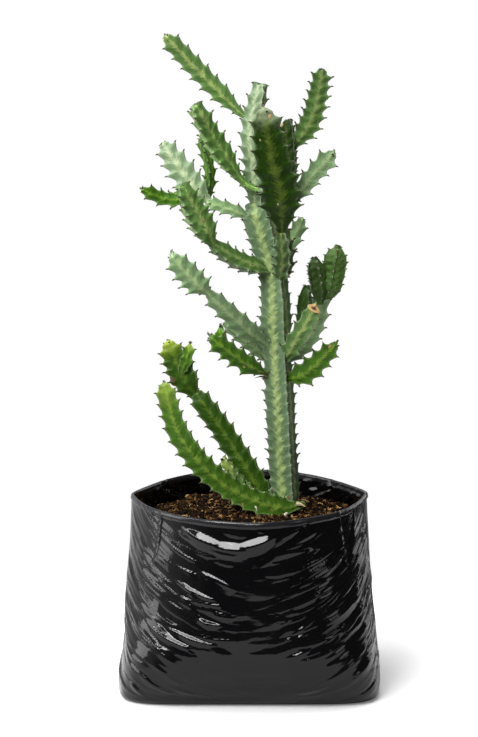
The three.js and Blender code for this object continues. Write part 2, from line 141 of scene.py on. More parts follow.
def bag_outline(height, inset):
    """The bag's section at a height, in millimetres, as FILM_COLUMNS points, anticlockwise
    from the middle of the back and closest together in front, and its length. It passes from
    an ellipse at the mouth to nearly a rectangle at the base, and widens at both sides
    towards the base."""
    angle = np.linspace(math.pi / 2, math.pi * 5 / 2, 4001)
    c, s = np.cos(angle), np.sin(angle)
    drop = 1.0 - height / BAG_HEIGHT
    power = 2.0 / (2.0 + 4.6 * drop**4)
    pinch = 1.0 - 0.09 * smooth_step(height, 101.0, BAG_HEIGHT) * np.abs(np.sin(2 * angle) * c)
    lean = max(1.0 - height / UPRIGHT_HEIGHT, 0.0) ** 2
    half_depth = MOUTH_HALF_DEPTH + (BASE_HALF_DEPTH - MOUTH_HALF_DEPTH) * lean - inset
    half_width = MOUTH_HALF_WIDTH + drop * np.where(c < 0, *EAR_FLARES) - inset
    x = half_width * np.sign(c) * np.abs(c) ** power * pinch
    y = half_depth * np.sign(s) * np.abs(s) ** power * pinch
    run = np.concatenate([[0.0], np.cumsum(np.hypot(np.diff(x), np.diff(y)))])
    places = film_share() * run[-1]
    return np.stack([np.interp(places, run, x), np.interp(places, run, y)], -1), run[-1]


def crease_roofs(across, height, creases):
    """The relief of straight creases where the film is at the given places: each is a ridge
    with two flat faces, upper and lower, that narrows to a point at both ends. The highest
    one counts. creases has the columns of BOLD_CREASES."""
    x0, z0, x1, z1, rise, upper, lower, sag = np.asarray(creases, float).T[:, :, None]
    run = np.hypot(x1 - x0, z1 - z0)
    dx, dz = (x1 - x0) / run, (z1 - z0) / run
    along = ((across - x0) * dx + (height - z0) * dz) / run
    beside = ((height - z0) * dx - (across - x0) * dz) * np.sign(dx)
    taper = np.clip(1.0 - np.abs(2.0 * along - 1.0) ** 2.4, 1e-6, 1.0)
    beside = beside + sag * 4.0 * along * (1.0 - along)
    reach = np.where(beside > 0, upper, lower) * taper
    return np.max(rise * taper * np.clip(1.0 - np.abs(beside) / reach, 0.0, 1.0), 0)


def random_pleats(seed, inward=False):
    """Pleats of one quarter of the film, from the middle of the front or back, where across is
    0, to a side fold, in the columns of BOLD_CREASES: needles that climb outwards, steeper and
    thicker set away from the middle. Low in the middle there are few. Their broad face looks
    down, so it is the lower one of a ridge and the upper one of a furrow."""
    rng = np.random.default_rng(seed)
    foot, low = rng.uniform(8, 160, PLEATS), rng.uniform(-20, 158, PLEATS)
    slope = PLEAT_SLOPE * smooth_step(foot, -25.0, 60.0) + rng.normal(0.0, 0.05, PLEATS)
    length = rng.uniform(30.0, 110.0, PLEATS) * (0.5 + 0.5 * smooth_step(foot, 15.0, 60.0))
    length = np.minimum(length, 173.0 - foot)
    lower = SMALLEST_PLEAT + 4.8 * rng.uniform(0, 1, PLEATS) ** 2
    rise = lower * rng.uniform(0.14, 0.34, PLEATS)
    upper = rise / rng.uniform(0.8, 1.5, PLEATS)
    keep = (foot > rng.uniform(20.0, 80.0, PLEATS)) | (low > 50.0)
    ends = [foot, low, foot + length, low + slope * length]
    reaches = (lower, upper) if inward else (upper, lower)
    pleats = np.stack([*ends, rise, *reaches, 0.04 * length], -1)
    return pleats[keep & (length > 8.0)]


QUARTERS = [(random_pleats(seed), random_pleats(seed + 4, True)[::4]) for seed in (41, 42, 43, 44)]


def hipped_facets(x, y, seed, around, rows=64):
    """Flat facets with sharp edges, from about -0.5 to 0.5: every cell round a random site,
    one to each whole step of x and y, is a hipped roof or the same upside down. It repeats
    as lattice_noise does."""
    rng = np.random.default_rng(seed)
    jitter = rng.uniform(0.1, 0.9, (around, rows, 2))
    swing = rng.uniform(-1.0, 1.0, (around, rows))
    column, row = np.floor(x).astype(int), np.floor(y).astype(int)
    sites, swings = [], []
    for i in (-1, 0, 1):
        for j in (-1, 0, 1):
            spot = (column + i) % around, (row + j) % rows
            sites.append(jitter[spot] + np.stack([column + i - x, row + j - y], -1))
            swings.append(swing[spot])
    sites, swings = np.array(sites), np.array(swings)
    nearest = np.argmin((sites**2).sum(-1), 0)
    own = np.take_along_axis(sites, nearest[None, :, None], 0)
    between = sites - own
    gap = np.hypot(between[..., 0], between[..., 1])
    edge = (between * (sites + own) / 2).sum(-1) / np.maximum(gap, 1e-9)
    reach = np.min(np.where(gap > 1e-6, edge, 9.0), 0)
    return reach * np.take_along_axis(swings, nearest[None], 0)[0]


def film_relief(outline, perimeter, height):
    """How far each point of a ring stands out, in millimetres, and its place in the flat
    film, with how creased it is there. Needle-like pleats fan out from low in the middle of
    the front and back to the side folds, over broad flat facets. Low in the middle of the
    front the facets are shallow, and round the boldest crease the film is smoother."""
    share = film_share()
    side = (share - 0.5) * perimeter
    half = perimeter / 2
    front = np.abs(side) < half / 2
    across = np.where(front, np.abs(side), half - np.abs(side)) * LAY_FLAT_WIDTH / half
    relief = 1.3 * lattice_noise(share * 11, np.full_like(share, height / 46.0), 3, 11)
    crease = height - PLEAT_SLOPE * across * smooth_step(across, 0.0, 60.0)
    ragged = 22.0 * lattice_noise(share * 26, crease / 9.0 + 8.0, 12, 26)
    half_calm = 6.0 + 40.0 * smooth_step(85.0 - height, 0.0, 65.0) + ragged
    calm = 0.6 * smooth_step(half_calm - np.abs(side + 4.0), -10.0, 12.0) * (height < 120.0)
    creased = (1.0 - calm) * (1.0 - 0.6 * smooth_step(across, 145.0, 172.0))
    smile = (outline[:, 1] < 0) * smooth_step(46.0 - np.abs(outline[:, 0] + 18.0), 0.0, 14.0)
    smile = smile * smooth_step(height, 148.0, 155.0) * smooth_step(178.0 - height, 0.0, 5.0)
    sharp = creased * (1.0 - 0.8 * smile)
    relief += 2.2 * sharp * hipped_facets(share * 14, crease / 15.0 + 8.0, 5, 14)
    relief += 0.5 * sharp * hipped_facets(share * 36, crease / 4.5 + 24.0, 6, 36)
    flat_height = np.full_like(share, height / 8.0 + 3.0)
    relief += 1.5 * calm * hipped_facets(share * 15, flat_height + 0.6 * ragged / 22.0, 7, 15)
    for quarter, (ridges, valleys) in enumerate(QUARTERS):
        here = (front == (quarter < 2)) & ((side < 0) == (quarter % 2 == 0))
        out = crease_roofs(across[here], height, ridges)
        relief[here] += sharp[here] * (out - crease_roofs(across[here], height, valleys))
    facing = outline[:, 1] < 0
    relief[facing] += crease_roofs(outline[facing, 0], height, BOLD_CREASES)
    fold = np.exp(-(((across - SIDE_FOLD) / 2.0) ** 2))
    relief *= smooth_step(height, 0.0, 14.0)
    relief += 0.9 * fold * smooth_step(height, 110.0, 160.0)
    gathered = creased * (0.5 + 0.5 * smooth_step(across, 60.0, 110.0)) * (1.0 - 0.65 * smile)
    return np.maximum(relief, -DEEPEST_DENT), np.stack([side, crease, gathered], -1)


def unit(directions):
    """Directions along the last axis, made one long."""
    return directions / np.linalg.norm(directions, axis=-1, keepdims=True)


def film_ring(height, inset, raised=1.0, crumple=0.0):
    """One ring of the film as points in metres, pushed out along the outline's normal by the
    relief times raised, and the points' places among the creases. The rim rises at the two
    side folds. crumple is the depth of the small facets that crumple the inside."""
    outline, perimeter = bag_outline(height, inset)
    relief, flow = film_relief(outline, perimeter, height)
    if crumple:
        level = np.full(FILM_COLUMNS, height / 9.0 + 8.0)
        relief -= crumple * np.abs(hipped_facets(film_share() * 40, level, 8, 40))
    tangent = np.roll(outline, -1, 0) - np.roll(outline, 1, 0)
    normal = unit(np.stack([tangent[:, 1], -tangent[:, 0]], -1))
    flat = outline + normal * (raised * relief)[:, None]
    wave = 0.8 * lattice_noise(np.arange(FILM_COLUMNS) / 47.0, np.zeros(FILM_COLUMNS), 9, 10)
    corner = np.clip(np.abs(outline[:, 0]) / MOUTH_HALF_WIDTH, 0, 1)
    lift = (wave + 2.6 * corner**14) * smooth_step(height, 150.0, BAG_HEIGHT)
    return np.column_stack([flat, height + lift]) * MM, flow


def mesh_object(name, points, faces, smooth=False, **values):
    """Adds an object of points and faces. values are attributes with one number or vector a
    point. The points left over after a short array get its last value."""
    mesh = bpy.data.meshes.new(name)
    mesh.from_pydata(points, [], faces, shade_flat=not smooth)
    for key, value in values.items():
        value = np.asarray(value, np.float32)
        value = np.concatenate([value, np.repeat(value[-1:], len(points) - len(value), 0)])
        kind, field = ("FLOAT", "value") if value.ndim == 1 else ("FLOAT_VECTOR", "vector")
        mesh.attributes.new(key, kind, "POINT").data.foreach_set(field, value.ravel())
    return add_object(name, mesh)


def closed_skin(name, rings, poles, **values):
    """A smooth closed skin over rings of points, with a pole at each end."""
    here = np.arange(rings.shape[0] * rings.shape[1]).reshape(rings.shape[:2])
    after = np.roll(here, -1, 1)
    quads = np.stack([here[:-1], after[:-1], after[1:], here[1:]], -1).reshape(-1, 4)
    start, end = np.full_like(here[0], here.size), np.full_like(here[0], here.size + 1)
    fans = [np.stack([start, after[0], here[0]], -1), np.stack([end, here[-1], after[-1]], -1)]
    points = np.concatenate([rings.reshape(-1, 3), poles])
    faces = quads.tolist() + np.concatenate(fans).tolist()
    return mesh_object(name, points, faces, True, **values)


def film_bag():
    """The whole bag: up the outside, over the rolled hem and down the inside. A step is what
    film_ring takes: a height, an inset, the share of the relief and the crumpling."""
    steps = []
    for turn in np.linspace(0.0, math.pi / 2, 4, endpoint=False):
        low = BASE_EDGE_RADIUS * (1 - math.cos(turn))
        steps.append((low, BASE_EDGE_RADIUS * (1 - math.sin(turn)), 1.0))
    outside = np.linspace(BASE_EDGE_RADIUS, HEM_FOOT - 0.8, 156)
    steps += [(height, 0.0, 1.0) for height in outside]
    for turn in np.linspace(0.0, math.pi, 11):
        inset = FILM / 2 - (HEM_SWELL + FILM / 2 + 0.5) * math.cos(turn)
        rise = HEM_FOOT + HEM_HEIGHT * math.sin(turn) ** 0.7
        steps.append((min(rise, BAG_HEIGHT), inset, 0.6))
    inside = np.linspace(HEM_FOOT - 1.4, 140.0, 26)
    steps += [(height, FILM + 1.4, 1.4, INNER_CRUMPLE) for height in inside]
    steps += [(height, FILM, 0.5) for height in (110.0, 78.0, 40.0, BASE_EDGE_RADIUS)]
    steps.append((FILM, FILM + BASE_EDGE_RADIUS, 0.0))
    rings, flow = zip(*(film_ring(*step) for step in steps))
    poles = np.array([[0.0, 0.0, 0.0], [0.0, 0.0, FILM * MM]])
    return closed_skin("bag_film", np.array(rings), poles, flow=np.concatenate(flow))


class Nodes:
    """A material's or group's node tree, with a short way to add and join nodes."""

    def __init__(self, tree):
        self.tree = tree

    def feed(self, node, inputs):
        """Gives a node's sockets values, or joins them to the outputs of other nodes."""
        for key, value in inputs.items():
            socket = node.inputs[key]
            if isinstance(value, bpy.types.NodeSocket):
                self.tree.links.new(value, socket)
            else:
                socket.default_value = (*value, 1.0) if socket.type == "RGBA" else value

    def add(self, kind, inputs=None, **settings):
        node = self.tree.nodes.new("ShaderNode" + kind)
        for key, value in settings.items():
            setattr(node, key, value)
        self.feed(node, inputs or {})
        return node

    def math(self, operation, first, second=0.0, third=0.0):
        inputs = {0: first, 1: second, 2: third}
        return self.add("Math", inputs, operation=operation).outputs[0]

    def sway(self, value, noise, amount):
        """Pushes value up and down by amount times a noise that has its middle at 0.5."""
        return self.math("MULTIPLY_ADD", self.math("SUBTRACT", noise, 0.5), amount, value)

    def band(self, value, start, end, low=0.0, high=1.0):
        """Maps value from start..end to low..high with a smooth turn at both ends."""
        inputs = {"Value": value, 1: start, 2: end, 3: low, 4: high}
        return self.add("MapRange", inputs, interpolation_type="SMOOTHSTEP").outputs[0]

    def mix(self, factor, first, second):
        return self.add("Mix", {0: factor, 6: first, 7: second}, data_type="RGBA").outputs[2]

    def noise(self, vector, scale, detail=2.0, roughness=0.5, distortion=0.0):
        inputs = {"Vector": vector, "Scale": scale, "Detail": detail}
        inputs |= {"Roughness": roughness, "Distortion": distortion}
        return self.add("TexNoise", inputs).outputs["Fac"]

    def bump(self, height, strength, distance):
        inputs = {"Height": height, "Strength": strength, "Distance": distance}
        return self.add("Bump", inputs).outputs[0]

    def value(self, name, output="Fac"):
        return self.add("Attribute", attribute_name=name).outputs[output]

    def place(self):
        return self.add("TexCoord").outputs["Object"]

    def parts(self, vector):
        return self.add("SeparateXYZ", {0: vector}).outputs


def new_material(name):
    """A material with a Principled surface as it comes. Returns it, its nodes and the shader."""
    material = bpy.data.materials.new(name)
    material.use_nodes = True
    return material, Nodes(material.node_tree), material.node_tree.nodes["Principled BSDF"]


def film_material():
    """Black film: nearly mirror smooth, with fine creases drawn out along the pleats. The hem
    is duller and greyer, and a light dust dulls the rest here and there."""
    material, nodes, shader = new_material("black_film")
    flow = nodes.value("flow", "Vector")
    drawn_out = nodes.add("Mapping", {"Vector": flow, "Scale": (0.05, 0.3, 0.0)}).outputs[0]
    creases = nodes.noise(drawn_out, 1.0, 3.0, 0.55, 0.4)
    ridge = nodes.math("ABSOLUTE", nodes.math("SUBTRACT", creases, 0.5))
    ridge = nodes.math("MULTIPLY", ridge, nodes.parts(flow)[2])
    dust = nodes.noise(nodes.place(), 26.0, 5.0, 0.6)
    colour = nodes.mix(nodes.band(dust, 0.42, 0.7), FILM_BLACK, FILM_DUST)
    height = nodes.parts(nodes.place())[2]
    hem = nodes.band(height, HEM_FOOT * MM - 0.0005, HEM_FOOT * MM + 0.0005)
    rough = nodes.band(dust, 0.35, 0.75, 0.04, 0.11)
    nodes.feed(shader, {
        "Base Color": nodes.mix(hem, colour, HEM_GREY),
        "Roughness": nodes.math("MULTIPLY_ADD", hem, HEM_DULLNESS, rough),
        "Normal": nodes.bump(ridge, 1.0, 0.0003),
        "Specular IOR Level": 0.27,
    })
    return material


bag = film_bag()
bag.data.materials.append(film_material())
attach(bag, "root")
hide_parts("grow_bag")

# ---------------------------------------------------------------------------------------
# The potting soil: a dark, crumbly mix of bark fines and peat that fills the bag to 23 mm
# under its rim, and 8 mm higher in the middle, with tan fibres and golden bark in it.
SOIL_EDGE_HEIGHT = 158.0
SOIL_MOUND = 8.0
SOIL_REACH = 0.985
CRUMBS = 9000
SMALLEST_CRUMB = 0.55
CRUMB_SPREAD = 2.1
FIBRES = 420
FIBRE_LENGTHS = (3.0, 11.0)
FIBRE_WIDTHS = (0.14, 0.42)
FIBRE_SIDES = 3
FIBRE_RINGS = 5
# Tones and colours for soil_material, the two ends first.
PEAT = [(0.0, (0.0015, 0.001, 0.0006)), (1.0, (0.012, 0.0065, 0.0032))]
BARK = [
    (0.0, (0.003, 0.0016, 0.0008)), (1.0, (0.85, 0.55, 0.23)), (0.3, (0.026, 0.0125, 0.0045)),
    (0.55, (0.11, 0.052, 0.018)), (0.8, (0.42, 0.23, 0.08)),
]


def soil_height(x, y):
    """The height of the soil's surface over a place, in millimetres: a low mound with
    lumps of about 25 mm, 8 mm and 3 mm on it."""
    share = np.hypot(x / MOUTH_HALF_WIDTH, y / MOUTH_HALF_DEPTH)
    mound = SOIL_EDGE_HEIGHT + SOIL_MOUND * (1 - np.clip(share, 0, 1) ** 2)
    lumps = 2.2 * lattice_noise(x / 24.0, y / 24.0, 21) + 1.3 * lattice_noise(x / 8.0, y / 8.0, 22)
    lumps += 0.8 * lattice_noise(x / 3.4, y / 3.4, 23)
    return mound + lumps * (1.0 - 0.6 * smooth_step(share, 0.85, 1.0))


def soil_surface():
    """The soil as a closed plug: its walls, and its surface as rings drawn in to a pole."""
    rings = []
    for height in (BASE_EDGE_RADIUS, 40.0, 78.0, 115.0, 140.0):
        edge, _ = bag_outline(height, FILM + 3.6)
        rings.append(np.column_stack([edge, np.full(len(edge), height)]))
    edge, _ = bag_outline(SOIL_EDGE_HEIGHT, FILM + 1.2)
    for share in np.linspace(1.0, 0.01, 64):
        flat = edge * share
        rings.append(np.column_stack([flat, soil_height(flat[:, 0], flat[:, 1])]))
    low = np.array([0.0, 0.0, FILM + 0.3])
    top = np.array([0.0, 0.0, soil_height(0.0, 0.0)])
    return closed_skin("soil_bed", np.array(rings)[:, ::2] * MM, np.array([low, top]) * MM)


def scattered(count, seed):
    """Random places on the soil inside the bag, in millimetres, clear of the film: an even
    angle, and the root of an even share of the way out."""
    rng = np.random.default_rng(seed)
    angle = rng.uniform(0, 2 * math.pi, count)
    share = np.sqrt(rng.uniform(0, 1, count)) * SOIL_REACH
    outline, _ = bag_outline(SOIL_EDGE_HEIGHT, FILM + 3.6)
    turn = np.arctan2(outline[:, 1], outline[:, 0]) % (2 * math.pi)
    order = np.argsort(turn)
    reach = np.interp(angle, turn[order], np.hypot(*outline[order].T), period=2 * math.pi)
    return np.stack([np.cos(angle), np.sin(angle)], -1) * (share * reach)[:, None]


def turned(count, rng):
    """Random turns, as rotation matrices made from random unit quaternions."""
    w, x, y, z = unit(rng.normal(size=(count, 4))).T
    rows = [
        [1 - 2 * (y * y + z * z), 2 * (x * y - z * w), 2 * (x * z + y * w)],
        [2 * (x * y + z * w), 1 - 2 * (x * x + z * z), 2 * (y * z - x * w)],
        [2 * (x * z - y * w), 2 * (y * z + x * w), 1 - 2 * (x * x + y * y)],
    ]
    return np.array(rows).transpose(2, 0, 1)


def loose_pieces(name, points, faces, **values):
    """One mesh of many like pieces: points is (pieces, points, 3), in millimetres, and faces
    is the same for each. values have one number a piece."""
    count, size = points.shape[:2]
    faces = faces[None] + (np.arange(count) * size)[:, None, None]
    values = {key: np.repeat(value, size, 0) for key, value in values.items()}
    return mesh_object(name, points.reshape(-1, 3) * MM, faces.reshape(-1, 3), **values)


def ring_faces(sides, rings, point=True, foot=False):
    """Triangles of a closed shape whose points are rings, one after the other. With point, the
    last ring closes on the point after the rings, and with foot, the first one on the point
    after that. A ring without one is closed flat, from its first corner."""
    here = np.arange(sides)
    after = (here + 1) % sides
    last, tip = sides * (rings - 1), np.full(sides, sides * rings)
    a, b = (sides * np.arange(rings - 1)[:, None] + part for part in (here, after))
    first, second, third = np.zeros(sides - 2, int), here[1:-1], here[2:]
    low = (tip + 1, after, here) if foot else (first, third, second)
    high = (here, after, tip - last) if point else (first, second, third)
    high = [part + last for part in high]
    corners = ((a, b, b + sides), (a, b + sides, a + sides), low, high)
    return np.concatenate([np.stack(part, -1).reshape(-1, 3) for part in corners])


def icosahedron():
    """The 12 corners and 20 faces of an icosahedron, from the golden ratio."""
    g = (1 + 5**0.5) / 2
    corners = [(-1, g, 0), (1, g, 0), (-1, -g, 0), (1, -g, 0), (0, -1, g), (0, 1, g)]
    corners += [(0, -1, -g), (0, 1, -g), (g, 0, -1), (g, 0, 1), (-g, 0, -1), (-g, 0, 1)]
    faces = [(0, 11, 5), (0, 5, 1), (0, 1, 7), (0, 7, 10), (0, 10, 11), (1, 5, 9), (5, 11, 4)]
    faces += [(11, 10, 2), (10, 7, 6), (7, 1, 8), (3, 9, 4), (3, 4, 2), (3, 2, 6), (3, 6, 8)]
    faces += [(3, 8, 9), (4, 9, 5), (2, 4, 11), (6, 2, 10), (8, 6, 7), (9, 8, 1)]
    return np.array(corners, float) / math.hypot(1, g), np.array(faces)


def soil_crumbs():
    """Crumbs and bark chips: icosahedra with their corners pushed about, stretched and turned
    at random, with their middles a third of a radius above the soil. Small ones are the most
    common."""
    rng = np.random.default_rng(31)
    corners, faces = icosahedron()
    place = scattered(CRUMBS, 32)
    size = CRUMB_SPREAD * rng.power(0.3, CRUMBS) * rng.uniform(0.5, 1.0, CRUMBS) + SMALLEST_CRUMB
    shape = corners[None] * rng.uniform(0.7, 1.15, (CRUMBS, 12, 1))
    shape = shape * rng.uniform(0.55, 1.35, (CRUMBS, 1, 3)) * size[:, None, None]
    shape = np.einsum("nij,nkj->nki", turned(CRUMBS, rng), shape)
    height = soil_height(place[:, 0], place[:, 1]) + 0.35 * size
    centre = np.column_stack([place, height])
    tone = rng.beta(0.8, 2.6, CRUMBS)
    return loose_pieces("soil_crumbs", shape + centre[:, None], faces, tone=tone)


def soil_fibres():
    """Bark fibres: thin, slightly bent strips of three sides that lie on the soil."""
    rng = np.random.default_rng(41)
    place = scattered(FIBRES, 42)
    steps = np.linspace(-0.5, 0.5, FIBRE_RINGS)
    length = rng.uniform(*FIBRE_LENGTHS, FIBRES)
    start = rng.uniform(0, 2 * math.pi, FIBRES)
    heading = start[:, None] + steps * rng.normal(0, 0.9, (FIBRES, 1))
    flat = np.stack([np.cos(heading), np.sin(heading)], -1) * (steps * length[:, None])[..., None]
    flat = flat + place[:, None]
    rise = rng.uniform(0.5, 1.6, (FIBRES, 1))
    rise = rise + rng.normal(0, 0.25, (FIBRES, FIBRE_RINGS)).cumsum(1)
    height = soil_height(flat[..., 0], flat[..., 1]) + rise
    width = rng.uniform(*FIBRE_WIDTHS, FIBRES)[:, None] * np.array([0.4, 1, 1, 0.9, 0.3])
    side = np.stack([-np.sin(heading), np.cos(heading), np.zeros_like(heading)], -1)[:, :, None]
    turn = np.array([0.0, 2.1, 4.2])[:, None]
    offset = side * np.cos(turn) + np.array([0.0, 0.0, 1.0]) * np.sin(turn)
    centre = np.concatenate([flat, height[..., None]], -1)[:, :, None]
    points = (centre + offset * width[..., None, None]).reshape(FIBRES, -1, 3)
    tone = rng.uniform(0.55, 1.0, FIBRES)
    faces = ring_faces(FIBRE_SIDES, FIBRE_RINGS, point=False)
    return loose_pieces("soil_fibres", points, faces, tone=tone)


def dry_material(name, steps, grain_scale, sway, bump, tone_scale=0.0):
    """A crumbly or corky stuff: steps are (tone, colour) pairs, and the tone is each piece's
    own, or with a tone_scale a noise. A fine grain breaks it up and roughens it by bump, a
    strength and a distance. Returns the material, its nodes, the shader and the grain."""
    material, nodes, shader = new_material(name)
    grain = nodes.noise(nodes.place(), grain_scale, 4.0, 0.6)
    own = nodes.noise(nodes.place(), tone_scale, 5.0, 0.65) if tone_scale else nodes.value("tone")
    ramp = nodes.add("ValToRGB", {"Fac": nodes.sway(own, grain, sway)})
    elements = ramp.color_ramp.elements
    for index, (position, colour) in enumerate(steps):
        element = elements[index] if index < 2 else elements.new(position)
        element.position = position
        element.color = (*colour, 1.0)
    nodes.feed(shader, {"Base Color": ramp.outputs[0], "Normal": nodes.bump(grain, *bump)})
    return material, nodes, shader, grain


def soil_material(name, steps, tone_scale=0.0):
    """Soil: from wet black peat to dry golden bark, all of it dull."""
    made = dry_material(name, steps, 900.0, 0.35, (0.7, 0.0006), tone_scale)
    material, nodes, shader, grain = made
    rough = nodes.band(grain, 0.2, 0.8, 0.8, 1.0)
    nodes.feed(shader, {"Roughness": rough, "Specular IOR Level": 0.08})
    return material


peat, bark = soil_material("damp_peat", PEAT, 240.0), soil_material("bark_crumbs", BARK)
for piece, material in ((soil_surface(), peat), (soil_crumbs(), bark), (soil_fibres(), bark)):
    piece.data.materials.append(material)
    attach(piece, "root")
    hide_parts("soil")

# ---------------------------------------------------------------------------------------
# The stems: joints of succulent stem with three to five ribs, thin or round, and a row of
# teeth on each rib. They stand where the frame's do, with as many teeth, a little deeper and
# less even. Each starts from a narrow neck, and the front stem's foot is fuller.
TOOTH_LEAN = 0.42
UNEVENNESS = 0.07
SWELL_SPAN = 0.07
RINGS_A_TOOTH = 14
FLANK_STEPS = 7
CAP_STEPS = 5
TIP_RINGS = 6
ROOT_RINGS = 4
# The height of the half eggs at a joint's two ends, as a share of its radius there.
TIP_DOME = 0.25
ROOT_DOME = 0.5
# The valleys' share of the teeth's radius, by the number of ribs.
VALLEY = {3: 0.44, 4: 0.6, 5: 0.8}
# How far apart in the pattern the faces of a joint are, in millimetres.
FACE_STEP = 40.0


def stem(skin, tone, teeth, radius, path, **more):
    """The values of one joint: its skin and tone, the teeth on a rib, the radius of the crests
    at the root, the widest place and the tip, and points on the axis. more are what is not
    as usual: the ribs, the roll of the first one in degrees from the front to the right, the
    tip, the shares of the length over which the neck swells, the notches' share of the
    teeth's radius, how much the tone rises from root to tip, and places where the joint
    is thicker or thinner and by how much."""
    usual = {"ribs": 3, "roll": 60, "tip": "blunt", "neck": (0.02, 0.32), "notch": 0.66}
    given = {"skin": skin, "tone": tone, "teeth": teeth, "radius": radius, "path": path}
    return usual | {"fade": 0.0, "swells": ()} | given | more


